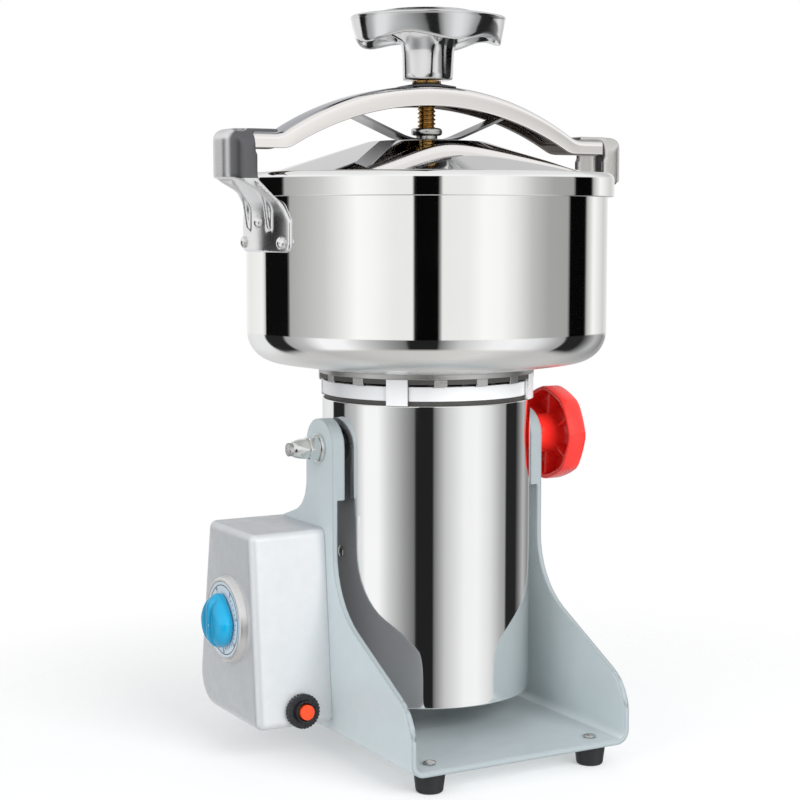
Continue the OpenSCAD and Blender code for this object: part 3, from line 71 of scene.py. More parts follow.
world = bpy.data.worlds.new("studio")
bpy.context.scene.world = world
world.use_nodes = True
sky = world.node_tree
sky.nodes.clear()
sky_out = added(sky, "ShaderNodeOutputWorld")
sky_place = added(sky, "ShaderNodeTexCoord")
sky_turn = added(sky, "ShaderNodeVectorRotate", {"Angle": -math.atan2(eye[1], eye[0])})
sky_turn.rotation_type = "Z_AXIS"
sky_ray = added(sky, "ShaderNodeSeparateXYZ")
sky_angle = added(sky, "ShaderNodeMath")
sky_angle.operation = "ARCTAN2"
sky_round = added(sky, "ShaderNodeMapRange", {"From Min": -math.pi, "From Max": math.pi})
sky.links.new(sky_place.outputs["Generated"], sky_turn.inputs["Vector"])
sky.links.new(sky_turn.outputs["Vector"], sky_ray.inputs["Vector"])
sky.links.new(sky_ray.outputs["Y"], sky_angle.inputs[0])
sky.links.new(sky_ray.outputs["X"], sky_angle.inputs[1])
sky.links.new(sky_angle.outputs[0], sky_round.inputs["Value"])


def panel_row(tint, panels):
    """One row of the light tent: brightness at each angle round the mill, in degrees from the viewpoint."""
    ramp = added(sky, "ShaderNodeValToRGB")
    stops = ramp.color_ramp.elements
    while len(stops) < len(panels):
        stops.new(0.5)
    for stop, (angle, light) in zip(stops, panels):
        stop.position = (angle + 180) / 360
    for stop, (angle, light) in zip(stops, panels):
        stop.color = (light * tint[0], light * tint[1], light * tint[2], 1)
    sky.links.new(sky_round.outputs["Result"], ramp.inputs["Fac"])
    return ramp.outputs["Color"]


def rows_meet(upper, lower, z_top, z_foot):
    """Blends two rows of the tent into each other between two heights of the reflected ray."""
    share = added(sky, "ShaderNodeMapRange", {"From Min": z_foot, "From Max": z_top})
    blend = added(sky, "ShaderNodeMix")
    blend.data_type = "RGBA"
    sky.links.new(sky_ray.outputs["Z"], share.inputs["Value"])
    sky.links.new(share.outputs["Result"], blend.inputs["Factor"])
    sky.links.new(lower, blend.inputs["A"])
    sky.links.new(upper, blend.inputs["B"])
    return blend.outputs["Result"]


high_row = panel_row((1, 1, 0.985), [
    (-180, 1.0), (-150, 0.85), (-126, 0.95), (-122, 0.6), (-121, 0.004), (-96, 0.004), (-94.5, 0.42),
    (-80, 0.52), (-66, 0.64), (-54, 0.84), (-43, 1.04), (-33, 1.0), (-20, 0.89), (-8.3, 0.88), (-7, 0.002),
    (8, 0.002), (9.3, 0.87), (26, 0.9), (36, 1.03), (47, 1.0), (57, 0.84), (69, 0.55), (82, 0.4), (99, 0.38),
    (101, 0.002), (118, 0.002), (121, 0.5), (130, 1.0), (150, 0.65), (179.9, 1.0)])
low_row = panel_row((0.99, 1, 1), [
    (-180, 0.7), (-140, 0.85), (-125, 0.85), (-123, 0.02), (-102, 0.02), (-100, 0.38), (-84, 0.55),
    (-70, 1.0), (-54, 1.0), (-40, 0.64), (-24, 0.34), (-13, 0.18), (-11, 0.016), (7, 0.016), (9, 0.2),
    (21, 0.6), (43, 0.95), (58, 0.98), (74, 0.8), (90, 0.44), (97, 0.36), (99, 0.02), (117, 0.02),
    (123, 0.15), (136, 0.5), (152, 0.25), (179.9, 0.7)])
base_row = panel_row((1, 0.985, 0.96), [
    (-180, 0.62), (-100, 0.6), (-80, 0.5), (-40, 0.6), (0, 0.62), (45, 0.72), (85, 0.54), (130, 0.6),
    (179.9, 0.62)])
upper_row = panel_row((0.99, 0.99, 1), [
    (-180, 0.66), (-160, 0.66), (-120, 0.95), (0, 1.0), (120, 0.95), (150, 0.62), (179.9, 0.58)])
top_row = panel_row((1, 1, 1), [
    (-180, 0.02), (-167, 0.03), (-160, 0.8), (0, 0.9), (165, 0.8), (173.6, 0.75), (174.6, 0.02),
    (179.9, 0.02)])
tent = rows_meet(rows_meet(high_row, low_row, -0.072, -0.1), base_row, -0.52, -0.64)
tent = rows_meet(top_row, rows_meet(upper_row, tent, 0.22, 0.12), 0.545, 0.52)
reflected = added(sky, "ShaderNodeBackground")
backdrop = added(sky, "ShaderNodeBackground", {"Color": (1, 1, 1, 1)})
fill = added(sky, "ShaderNodeBackground", {"Color": (0.95, 0.975, 1, 1), "Strength": 0.6})
sky_light = added(sky, "ShaderNodeLightPath")
sky_lit = added(sky, "ShaderNodeMixShader")
sky_seen = added(sky, "ShaderNodeMixShader")
sky.links.new(tent, reflected.inputs["Color"])
for mix, ray, other_rays, this_ray in ((sky_lit, "Is Glossy Ray", fill, reflected),
                                       (sky_seen, "Is Camera Ray", sky_lit, backdrop)):
    sky.links.new(sky_light.outputs[ray], mix.inputs["Fac"])
    sky.links.new(other_rays.outputs[0], mix.inputs[1])
    sky.links.new(this_ray.outputs[0], mix.inputs[2])
sky.links.new(sky_seen.outputs[0], sky_out.inputs["Surface"])

# The floor and the lamps. A pale round floor fades out into the pale surround, under a broad lamp in
# front, a weaker one on the left and one behind.
floor_r, fade_from, fade_to, floor_alpha = 1.6, 0.13, 0.42, 0.65
bpy.ops.object.select_all(action="DESELECT")
bpy.ops.mesh.primitive_circle_add(vertices=128, radius=floor_r, fill_type="NGON", location=(0, 0, 0))
floor = bpy.context.object
floor.name = "floor"
floor.visible_glossy = False
floor_paper = bpy.data.materials.new("floor_paper")
floor_paper.use_nodes = True
paper_tree = floor_paper.node_tree
paper = paper_tree.nodes["Principled BSDF"]
paper.inputs["Base Color"].default_value = (0.97, 0.97, 0.97, 1)
paper.inputs["Roughness"].default_value = 0.9
paper.inputs["Specular IOR Level"].default_value = 0.0
paper_place = added(paper_tree, "ShaderNodeTexCoord")
paper_far = added(paper_tree, "ShaderNodeVectorMath")
paper_far.operation = "LENGTH"
paper_fade = added(paper_tree, "ShaderNodeMapRange", {
    "From Min": fade_from, "From Max": fade_to, "To Min": floor_alpha, "To Max": 0.0})
paper_tree.links.new(paper_place.outputs["Object"], paper_far.inputs[0])
paper_tree.links.new(paper_far.outputs["Value"], paper_fade.inputs["Value"])
paper_tree.links.new(paper_fade.outputs["Result"], paper.inputs["Alpha"])
floor.data.materials.append(floor_paper)

for name, place, aim, size, watts in (
        ("front_lamp", (0.25, -1.7, 0.85), (0, 0, 0.15), 1.1, 31),
        ("left_lamp", (-1.6, -0.5, 0.8), (0, 0, 0.15), 1.0, 7),
        ("back_lamp", (0.4, 1.5, 1.6), (0, 0, 0.2), 1.2, 4)):
    bpy.ops.object.light_add(type="AREA", location=place)
    light = bpy.context.object
    light.name = name
    light.data.size = size
    light.data.energy = watts
    light.rotation_euler = (Vector(aim) - Vector(place)).to_track_quat("-Z", "Y").to_euler()
    light.visible_glossy = False
    light.visible_camera = False


# The frame. One sheet of steel bent into a U, with rims turned inwards round the tops of its uprights,
# in pale grey-blue stove enamel that shows a fine orange peel.
def surface(name, colour, other, rough, metal=0.0, grain=900.0, depth=0.02, spread=0.08, edge=0.0, coat=0.0):
    """A finish with two close tones, uneven gloss and a fine grain; edge rounds the corners it lights."""
    m = bpy.data.materials.new(name)
    m.use_nodes = True
    tree = m.node_tree
    link = tree.links.new
    shader = tree.nodes["Principled BSDF"]
    shader.inputs["Metallic"].default_value = metal
    shader.inputs["Coat Weight"].default_value = coat
    shader.inputs["Coat Roughness"].default_value = 0.08
    place = added(tree, "ShaderNodeTexCoord")
    clouds = added(tree, "ShaderNodeTexNoise", {"Scale": grain / 14, "Detail": 4})
    tones = added(tree, "ShaderNodeMix")
    tones.data_type = "RGBA"
    tones.inputs["A"].default_value = (*colour, 1)
    tones.inputs["B"].default_value = (*other, 1)
    gloss = added(tree, "ShaderNodeMapRange", {
        "From Min": 0.3, "From Max": 0.7, "To Min": max(rough - spread, 0.01), "To Max": rough + spread})
    fine = added(tree, "ShaderNodeTexNoise", {"Scale": grain, "Detail": 2})
    bump = added(tree, "ShaderNodeBump", {"Strength": depth, "Distance": 0.001})
    link(place.outputs["Object"], clouds.inputs["Vector"])
    link(place.outputs["Object"], fine.inputs["Vector"])
    link(clouds.outputs["Fac"], tones.inputs["Factor"])
    link(tones.outputs["Result"], shader.inputs["Base Color"])
    link(clouds.outputs["Fac"], gloss.inputs["Value"])
    link(gloss.outputs["Result"], shader.inputs["Roughness"])
    link(fine.outputs["Fac"], bump.inputs["Height"])
    link(bump.outputs["Normal"], shader.inputs["Normal"])
    if edge:
        rounding = added(tree, "ShaderNodeBevel", {"Radius": edge})
        rounding.samples = 6
        link(rounding.outputs["Normal"], bump.inputs["Normal"])
    return m


def toned(m, space, axis, span, rough=None, colour=None, where=None):
    """Another gloss or tone from a span's second value to its first and on, on one axis of Object or Normal.

    With where, which is (axis, test, place), it stays on one side of a place in Object coordinates.
    """
    tree = m.node_tree
    link = tree.links.new
    shader = tree.nodes["Principled BSDF"]
    place = added(tree, "ShaderNodeTexCoord")
    split = added(tree, "ShaderNodeSeparateXYZ")
    share = added(tree, "ShaderNodeMapRange", {
        "From Min": span[0], "From Max": span[1], "To Min": 1.0, "To Max": 0.0})
    share.interpolation_type = "SMOOTHSTEP"
    link(place.outputs[space], split.inputs["Vector"])
    link(split.outputs[axis], share.inputs["Value"])
    part = share.outputs["Result"]
    if where is not None:
        spot = added(tree, "ShaderNodeSeparateXYZ")
        side = added(tree, "ShaderNodeMath", {1: where[2]})
        side.operation = where[1]
        both = added(tree, "ShaderNodeMath")
        both.operation = "MULTIPLY"
        link(place.outputs["Object"], spot.inputs["Vector"])
        link(spot.outputs[where[0]], side.inputs[0])
        link(part, both.inputs[0])
        link(side.outputs[0], both.inputs[1])
        part = both.outputs[0]
    for socket, value in (("Roughness", rough), ("Base Color", colour)):
        if value is None:
            continue
        mix = added(tree, "ShaderNodeMix")
        if socket == "Base Color":
            mix.data_type = "RGBA"
            value = (*value, 1)
        link(part, mix.inputs["Factor"])
        link(shader.inputs[socket].links[0].from_socket, mix.inputs["A"])
        mix.inputs["B"].default_value = value
        link(mix.outputs["Result"], shader.inputs[socket])


def smooth_copy(node, body, finish, angle=32):
    """A joined, smoothly shaded copy of a construction piece, in its own finish, in the piece's place."""
    bpy.ops.object.select_all(action="DESELECT")
    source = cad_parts[node]
    piece = source.copy()
    piece.data = source.data.copy()
    piece.parent = None
    piece.matrix_world = Matrix.Identity(4)
    bpy.context.collection.objects.link(piece)
    piece.name = node + "_finished"
    piece.data.name = piece.name
    bpy.context.view_layer.objects.active = piece
    piece.select_set(True)
    bpy.ops.object.mode_set(mode="EDIT")
    bpy.ops.mesh.select_all(action="SELECT")
    bpy.ops.mesh.remove_doubles(threshold=0.00001)
    bpy.ops.object.mode_set(mode="OBJECT")
    bpy.ops.object.shade_smooth_by_angle(angle=math.radians(angle))
    bpy.ops.object.modifier_add(type="WEIGHTED_NORMAL")
    piece.modifiers[-1].keep_sharp = True
    bpy.ops.object.modifier_apply(modifier=piece.modifiers[-1].name)
    piece.data.materials.clear()
    piece.data.materials.append(finish)
    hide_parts(node)
    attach(piece, body)
    return piece


enamel = surface("stove_enamel", (0.69, 0.77, 0.79), (0.65, 0.73, 0.75), 0.42, grain=1400, depth=0.12,
                 edge=0.002, coat=0.15)
# Painted shade: faces of the frame that look up are painted a darker grey-blue.
toned(enamel, "Normal", 2, (0.98, 0.85), colour=(0.50, 0.565, 0.585))
# Painted shade: faces of the frame that look forward are painted darker still.
toned(enamel, "Normal", 1, (-0.4, -0.15), colour=(0.36, 0.41, 0.425))
# Painted shade: the inner face of the left upright is painted a dark grey.
toned(enamel, "Normal", 0, (0.9, 0.6), colour=(0.30, 0.305, 0.32), where=(0, "LESS_THAN", 0))
smooth_copy("base_frame", "frame", enamel)

# The feet. Moulded black rubber cones, one near each corner of the plate, each held to it by one domed
# steel screw.
foot_rubber = surface("foot_rubber", (0.012, 0.013, 0.015), (0.02, 0.021, 0.023), 0.55, grain=1200,
                      depth=0.15, edge=0.0006)
smooth_copy("rubber_feet", "frame", foot_rubber)
screw_steel = surface("screw_steel", (0.62, 0.62, 0.61), (0.5, 0.5, 0.5), 0.22, metal=1.0, grain=1500,
                      depth=0.05, edge=0.0004)
smooth_copy("foot_screws", "frame", screw_steel)


# The switch box. A pressed shell in silver-grey paint, fixed from inside the upright by four screws. A
# raised ring on its side holds the timer.
def rounded(corners, steps=10):
    """Points of an outline whose corners (x, z, radius) are turned into arcs; a radius of 0 stays sharp."""
    points = []
    for i, (x, z, r) in enumerate(corners):
        here = Vector((x, z))
        if r <= 0:
            points.append((x, z))
            continue
        before = Vector(corners[i - 1][:2]) - here
        after = Vector(corners[(i + 1) % len(corners)][:2]) - here
        half = before.angle(after) / 2
        middle = here + (before.normalized() + after.normalized()).normalized() * r / math.sin(half)
        first = here + before.normalized() * r / math.tan(half) - middle
        last = here + after.normalized() * r / math.tan(half) - middle
        turn = first.angle_signed(last)
        start = math.atan2(first.y, first.x)
        for k in range(steps + 1):
            a = start - turn * k / steps
            points.append((middle.x + r * math.cos(a), middle.y + r * math.sin(a)))
    return points


def finished(piece, finish, body, node=None, angle=34, place=None):
    """Puts a modelled piece in its place, with its shading, its finish and its body, and hides the node it
    replaces.
    """
    if place is not None:
        piece.data.transform(place)
    bpy.ops.object.shade_smooth_by_angle(angle=math.radians(angle))
    piece.data.materials.append(finish)
    if node:
        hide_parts(node)
    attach(piece, body)
    return piece


def lofted(name, loops, finish, body, node=None, angle=34, place=None):
    """A closed skin drawn through loops of as many points each, with a flat end on the first and the last."""
    bpy.ops.object.select_all(action="DESELECT")
    bpy.ops.mesh.primitive_circle_add(vertices=len(loops[0]), fill_type="NGON", location=(0, 0, 0))
    piece = bpy.context.object
    piece.name = name
    piece.data.name = name
    bpy.ops.object.mode_set(mode="EDIT")
    bpy.ops.mesh.select_all(action="SELECT")
    skin = bmesh.from_edit_mesh(piece.data)
    order = skin.verts.layers.int.new("order")
    skin.verts.ensure_lookup_table()
    for v in skin.verts:
        v[order] = v.index
        v.co = loops[0][v.index]
    bmesh.update_edit_mesh(piece.data)
    for loop in loops[1:]:
        bpy.ops.mesh.extrude_region_move()
        skin = bmesh.from_edit_mesh(piece.data)
        order = skin.verts.layers.int["order"]
        for v in skin.verts:
            if v.select:
                v.co = loop[v[order]]
        bmesh.update_edit_mesh(piece.data)
    bpy.ops.mesh.select_all(action="SELECT")
    bpy.ops.mesh.remove_doubles(threshold=0.000002)
    bpy.ops.mesh.normals_make_consistent(inside=False)
    bpy.ops.object.mode_set(mode="OBJECT")
    return finished(piece, finish, body, node, angle, place)


def turned(name, profile, finish, body, node=None, steps=160, edge=0.0, place=None):
    """A closed profile of (radius, height), spun round Z; long runs get a loop near each end for shading."""
    long_run, near_end = 0.003, 0.0006
    held = []
    for i, (r, z) in enumerate(profile):
        r2, z2 = profile[(i + 1) % len(profile)]
        run = math.hypot(r2 - r, z2 - z)
        held.append((r, z))
        if run > long_run:
            t = near_end / run
            held += [(r + (r2 - r) * t, z + (z2 - z) * t), (r2 - (r2 - r) * t, z2 - (z2 - z) * t)]
    bpy.ops.object.select_all(action="DESELECT")
    bpy.ops.mesh.primitive_circle_add(vertices=len(held), fill_type="NOTHING", location=(0, 0, 0))
    piece = bpy.context.object
    piece.name = name
    piece.data.name = name
    for v, (r, z) in zip(piece.data.vertices, held):
        v.co = (r, 0, z)
    bpy.ops.object.mode_set(mode="EDIT")
    bpy.ops.mesh.select_all(action="SELECT")
    bpy.ops.mesh.spin(steps=steps, angle=2 * math.pi, center=(0, 0, 0), axis=(0, 0, 1))
    bpy.ops.mesh.select_all(action="SELECT")
    bpy.ops.mesh.remove_doubles(threshold=0.000005)
    bpy.ops.mesh.normals_make_consistent(inside=False)
    bpy.ops.object.mode_set(mode="OBJECT")
    if edge:
        bpy.ops.object.modifier_add(type="BEVEL")
        piece.modifiers[-1].width = edge
        piece.modifiers[-1].segments = 3
        piece.modifiers[-1].limit_method = "ANGLE"
        piece.modifiers[-1].angle_limit = math.radians(35)
        bpy.ops.object.modifier_apply(modifier=piece.modifiers[-1].name)
    return finished(piece, finish, body, node, place=place)


box_paint = surface("silver_paint", (0.72, 0.735, 0.75), (0.67, 0.685, 0.70), 0.38, metal=0.4, grain=2600,
                    edge=0.0012)
# Painted shade: the top faces of the switch box are painted darker than its sides.
toned(box_paint, "Normal", 2, (0.98, 0.80), colour=(0.56, 0.57, 0.59))
box_low, box_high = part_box("switch_box")
dial_low, dial_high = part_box("timer_dial")
box_face = dial_low.x + 0.0045
box_front, box_lean, box_back, box_back_lean = -0.0166, 0.010, 0.057, 0.019
box_round, box_heel, box_wall = 0.005, 0.020, 0.0025
box_lip, box_skin, box_mid = 0.0004, 0.0002, 0.02


def box_loop(x, d):
    """The box's outline in its upright plane at x, moved in by d."""
    low, high = box_low.z, box_high.z
    return [(x, y, z) for y, z in rounded([
        (box_front + d, low + d, max(box_round - d, 0.0015)),
        (box_back + box_back_lean - d * 1.2, low + d, box_heel - d),
        (box_back - d, high - d, max(box_round - d, 0.0015)),
        (box_front + box_lean + d, high - d, max(box_round - d, 0.0015))], 9)]


box_loops = [
    box_loop(box_face + box_wall, box_wall + box_lip), box_loop(box_face + box_wall + box_lip, box_wall),
    box_loop(box_face + box_mid, box_wall), box_loop(box_high.x, box_wall), box_loop(box_high.x, box_skin),
    box_loop(box_high.x - box_skin, 0), box_loop(box_face + box_mid, 0)]
for i in range(11):
    a = math.pi / 2 * i / 10
    box_loops.append(box_loop(box_face + box_round * (1 - math.sin(a)), box_round * (1 - math.cos(a))))
box_shell = lofted("box_shell", box_loops, box_paint, "frame", "switch_box", 30)

timer_y, timer_z = (dial_low.y + dial_high.y) / 2, (dial_low.z + dial_high.z) / 2
timer_place = Matrix.Translation((box_face, timer_y, timer_z)) @ Matrix.Rotation(-math.pi / 2, 4, "Y")
switch_low, switch_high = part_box("overload_nut")
box_slope = math.atan2(box_lean, box_high.z - box_low.z)
switch_place = Matrix.Translation((switch_low + switch_high) / 2) @ Matrix.Rotation(
    math.pi / 2 - box_slope, 4, "X")
shaft_hole_r, switch_hole_r, hole_depth = 0.0054, 0.0068, 0.014
for hole_r, hole_place in ((shaft_hole_r, timer_place), (switch_hole_r, switch_place)):
    bpy.ops.object.select_all(action="DESELECT")
    bpy.ops.mesh.primitive_cylinder_add(vertices=64, radius=hole_r, depth=hole_depth, location=(0, 0, 0))
    cutter = bpy.context.object
    cutter.data.transform(hole_place)
    bpy.ops.object.select_all(action="DESELECT")
    bpy.context.view_layer.objects.active = box_shell
    box_shell.select_set(True)
    bpy.ops.object.modifier_add(type="BOOLEAN")
    box_shell.modifiers[-1].operation = "DIFFERENCE"
    box_shell.modifiers[-1].object = cutter
    bpy.ops.object.modifier_apply(modifier=box_shell.modifiers[-1].name)
    bpy.data.objects.remove(cutter)
dial_r, ring_r, ring_h = dial_high.z - timer_z, 0.0265, 0.0045
ring_metal = surface("satin_ring", (0.80, 0.79, 0.78), (0.72, 0.72, 0.72), 0.3, metal=0.85, grain=700,
                     depth=0.04)
timer_ring = turned("timer_ring", rounded([
    (dial_r + 0.0001, -0.001, 0), (ring_r + 0.0004, -0.001, 0), (ring_r + 0.0004, 0.0003, 0.0002),
    (ring_r - 0.0001, 0.0016, 0.0008), (ring_r - 0.0009, ring_h - 0.0006, 0.0022),
    (ring_r - 0.0022, ring_h, 0.0006), (dial_r + 0.0006, ring_h, 0.0003),
    (dial_r + 0.0001, ring_h - 0.0006, 0)], 6), ring_metal, "frame", None, 128, place=timer_place)
smooth_copy("box_screws", "frame", screw_steel)
inlet_plastic = surface("inlet_plastic", (0.02, 0.02, 0.022), (0.03, 0.03, 0.032), 0.4, grain=1500, depth=0.1)
smooth_copy("cable_inlet", "frame", inlet_plastic)

# The timer. A moulded dial let into the raised ring, with the works behind it and a blue knob in front.
# Minutes are marked all round it, and every fifth has its number.
dial_plastic = surface("dial_plastic", (0.72, 0.82, 0.90), (0.78, 0.86, 0.92), 0.3)
dial_hole_r, dial_back, dial_face = 0.00508, ring_h - 0.0012, ring_h - 0.0006
turned("dial_plate", rounded([
    (dial_hole_r, dial_back, 0), (dial_r - 0.0001, dial_back, 0), (dial_r - 0.0001, ring_h - 0.0003, 0.0002),
    (dial_r - 0.0008, ring_h - 0.0003, 0.0002), (dial_r - 0.0012, dial_face, 0.0002),
    (dial_hole_r, dial_face, 0)], 3), dial_plastic, "frame", "timer_dial", 128, place=timer_place)
dial_ink = surface("dial_ink", (0.02, 0.02, 0.03), (0.03, 0.03, 0.04), 0.4, depth=0.0)
ink_high = 0.00008
line_r, line_wide, line_sunk = 0.0207, 0.0005, 0.00005
dial_line = turned("dial_line", rounded([
    (line_r, dial_face - line_sunk, 0), (line_r + line_wide, dial_face - line_sunk, 0),
    (line_r + line_wide, dial_face + ink_high, 0), (line_r, dial_face + ink_high, 0)], 2),
    dial_ink, "frame", None, 128, place=timer_place)
tick_r, tick_long, tick_short, tick_wide = 0.0169, 0.0017, 0.0011, 0.0004
number_r, number_high, number_sunk = 0.0196, 0.0026, 0.00001
last_minute, first_turn, minute_turn = 30, math.radians(30), math.radians(10)
bpy.ops.object.select_all(action="DESELECT")
bpy.ops.mesh.primitive_cube_add(size=1, location=(0, 0, 0))
ticks = bpy.context.object
ticks.name = "dial_ticks"
ticks.data.name = ticks.name
bpy.ops.object.mode_set(mode="EDIT")
for minute in range(last_minute + 1):
    a = -(first_turn + minute * minute_turn)
    tick = tick_long if minute % 5 == 0 else tick_short
    middle = tick_r + tick / 2
    bpy.ops.mesh.select_all(action="DESELECT")
    if minute:
        bpy.ops.mesh.primitive_cube_add(size=1, location=(0, 0, 0))
    else:
        bpy.ops.mesh.select_all(action="SELECT")
    tick_skin = bmesh.from_edit_mesh(ticks.data)
    spot = Matrix.Translation((math.cos(a) * middle, math.sin(a) * middle, ink_high / 2)) @ Matrix.Rotation(
        a, 4, "Z") @ Matrix.Diagonal((tick, tick_wide, ink_high, 1))
    for v in tick_skin.verts:
        if v.select:
            v.co = spot @ v.co
    bmesh.update_edit_mesh(ticks.data)
bpy.ops.object.mode_set(mode="OBJECT")
ticks.data.transform(timer_place @ Matrix.Translation((0, 0, dial_face)))
ticks.data.materials.append(dial_ink)
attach(ticks, "frame")
for minute in range(0, last_minute + 1, 5):
    a = -(first_turn + minute * minute_turn)
    bpy.ops.object.select_all(action="DESELECT")
    bpy.ops.object.text_add(location=(0, 0, 0))
    number = bpy.context.object
    number.data.body = str(minute)
    number.data.size = number_high
    number.data.align_x = "CENTER"
    number.data.align_y = "CENTER"
    number.data.extrude = ink_high / 2
    bpy.ops.object.convert(target="MESH")
    number = bpy.context.object
    number.name = "dial_number_" + str(minute)
    number.data.name = number.name
    number_place = Matrix.Translation(
        (math.cos(a) * number_r, math.sin(a) * number_r, dial_face + ink_high / 2 - number_sunk))
    number.data.transform(timer_place @ number_place @ Matrix.Rotation(-math.pi / 2, 4, "Z"))
    number.data.materials.append(dial_ink)
    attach(number, "frame")
smooth_copy("timer_body", "frame", dial_plastic)
smooth_copy("timer_shaft", "timer_knob", screw_steel)
knob_plastic = surface("knob_plastic", (0.0, 0.33, 0.60), (0.0, 0.38, 0.66), 0.2, grain=1200, depth=0.03,
                       edge=0.0005, coat=0.3)
knob_low, knob_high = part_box("timer_knob")
knob_r, knob_foot = knob_high.z - timer_z, ring_h + 0.0003
knob_disc, knob_top = knob_foot + 0.0030, box_face - knob_low.x
knob_steps = 120
knob_taper, grip_depth, grip_side, grip_wide, knob_fall = 0.34, 0.42, 0.25, 0.10, 0.12


def knob_ring(share, z=None):
    """One loop of the timer knob's drop shape; without z it lies on the dished top with its grip bar."""
    ring = []
    for k in range(knob_steps):
        a = 2 * math.pi * k / knob_steps
        x = math.cos(a) * share
        y = math.sin(a) * share * (1 - knob_taper * max(0.0, math.cos(a)) ** 1.3)
        height = z
        if z is None:
            groove = grip_depth * math.exp(-((abs(y) - grip_side) / grip_wide) ** 2)
            dome = max(0.0, 1 - share ** 5) ** 0.7 * (1 - knob_fall * y * y - knob_fall * x * x)
            height = knob_disc + (knob_top - knob_disc) * (1 - groove) * dome
        ring.append((x * knob_r, y * knob_r, height))
    return ring


lofted("knob_drop", [
    knob_ring(0.9, knob_foot), knob_ring(0.975, knob_foot), knob_ring(0.99, knob_foot + 0.0002),
    knob_ring(0.995, knob_foot + 0.0012), knob_ring(1.0, knob_disc - 0.0006), knob_ring(0.997, knob_disc)] + [
    knob_ring(0.994 * (1 - i / 50)) for i in range(1, 50)] + [knob_ring(0.004)],
    knob_plastic, "timer_knob", "timer_knob", 50, place=timer_place)
white_mark = surface("white_mark", (0.9, 0.92, 0.95), (0.85, 0.88, 0.9), 0.4, depth=0.0)
mark_r, mark_high = 0.0008, 0.0003
mark_place = Matrix.Translation((-0.002, -0.0012, knob_top - 0.0007))
knob_mark = turned("knob_mark", rounded([
    (0.0001, 0, 0), (mark_r, 0, 0), (mark_r, mark_high, 0.0001), (0.0001, mark_high, 0)], 2),
    white_mark, "timer_knob", None, 24, place=timer_place @ mark_place)

# The overload switch. A black body behind the panel and a knurled ring nut in front of it hold the red
# button that resets the switch.
switch_plastic = surface("switch_plastic", (0.012, 0.012, 0.014), (0.02, 0.02, 0.022), 0.28, grain=1500,
                         depth=0.05, edge=0.0003)
smooth_copy("overload_body", "frame", switch_plastic)
smooth_copy("overload_nut", "frame", switch_plastic)
button_plastic = surface("button_plastic", (0.95, 0.085, 0.02), (0.9, 0.07, 0.015), 0.25, grain=1200,
                         depth=0.03, edge=0.0004)
smooth_copy("reset_button", "reset_button", button_plastic)

# The motor housing. A drawn tube of stainless steel, polished to a mirror, closed below by a cast cover
# with the bracket of the lower bearing.
mirror_steel = surface("mirror_steel", (0.93, 0.93, 0.925), (0.90, 0.90, 0.895), 0.035, metal=1.0, grain=500,
                       depth=0.0, spread=0.012)
tube_low, tube_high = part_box("motor_housing")
tube_r, tube_wall = tube_high.x, 0.0012
turned("motor_tube", [(tube_r, tube_low.z), (tube_r, tube_high.z), (tube_r - tube_wall, tube_high.z),
                      (tube_r - tube_wall, tube_low.z)], mirror_steel, "swing", "motor_housing", 256, 0.0003)
rough_cast = surface("rough_cast", (0.32, 0.33, 0.33), (0.22, 0.23, 0.23), 0.5, metal=0.8, grain=500,
                     depth=0.35)
smooth_copy("bottom_cover", "swing", rough_cast)
smooth_copy("cover_screws", "swing", screw_steel)
smooth_copy("lower_bracket", "swing", rough_cast)
smooth_copy("lower_bearing", "swing", screw_steel)

# The motor's works. Brush gear in moulded holders, a laminated stack with copper coils, and inside it the
# rotor on its shaft with the commutator and the fan.
works_plastic = surface("works_plastic", (0.09, 0.06, 0.04), (0.07, 0.05, 0.03), 0.5, depth=0.1)
carbon = surface("carbon", (0.02, 0.02, 0.02), (0.035, 0.035, 0.035), 0.6, grain=2500, depth=0.2)
stack_steel = surface("stack_steel", (0.16, 0.17, 0.18), (0.1, 0.105, 0.11), 0.45, metal=0.9, grain=700,
                      depth=0.2)
coil_copper = surface("coil_copper", (0.45, 0.17, 0.06), (0.35, 0.12, 0.04), 0.35, metal=0.7, grain=1600,
                      depth=0.4)
for node, body, finish in (
        ("brush_holders", "swing", works_plastic), ("carbon_brushes", "swing", carbon),
        ("stator", "swing", stack_steel), ("field_coils", "swing", coil_copper),
        ("upper_bearing", "swing", screw_steel), ("motor_shaft", "rotor", screw_steel),
        ("rotor_core", "rotor", stack_steel), ("commutator", "rotor", coil_copper),
        ("cooling_fan", "rotor", works_plastic)):
    smooth_copy(node, body, finish)

# The pivots. A stud through each upright: on the left a washer, a chamfered nut and a cap nut, and on the
# right a red star knob that clamps the swing.
smooth_copy("pivot_bosses", "swing", screw_steel)
smooth_copy("pivot_bolt", "swing", screw_steel)
pivot_z, nut_flats, cap_flats, cap_from, cap_lean = 0.186, 0.0132, 0.0118, 0.009, 0.10
nuts_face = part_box("pivot_nuts")[1].x
nut_steel = surface("nut_steel", (0.86, 0.88, 0.87), (0.74, 0.76, 0.75), 0.13, metal=1.0, edge=0.0003)
nut_place = Matrix.Translation((nuts_face, 0, pivot_z)) @ Matrix.Rotation(-math.pi / 2, 4, "Y")


def hex_ring(flats, r, z):
    """One loop of a nut: a hexagon of that width across its flats, cut back to a circle of radius r."""
    ring = []
    for k in range(120):
        a = 2 * math.pi * k / 120
        side = (a + math.pi / 6) % (math.pi / 3) - math.pi / 6
        q = min(r, flats / 2 / math.cos(side))
        ring.append((q * math.cos(a), q * math.sin(a), z))
    return ring


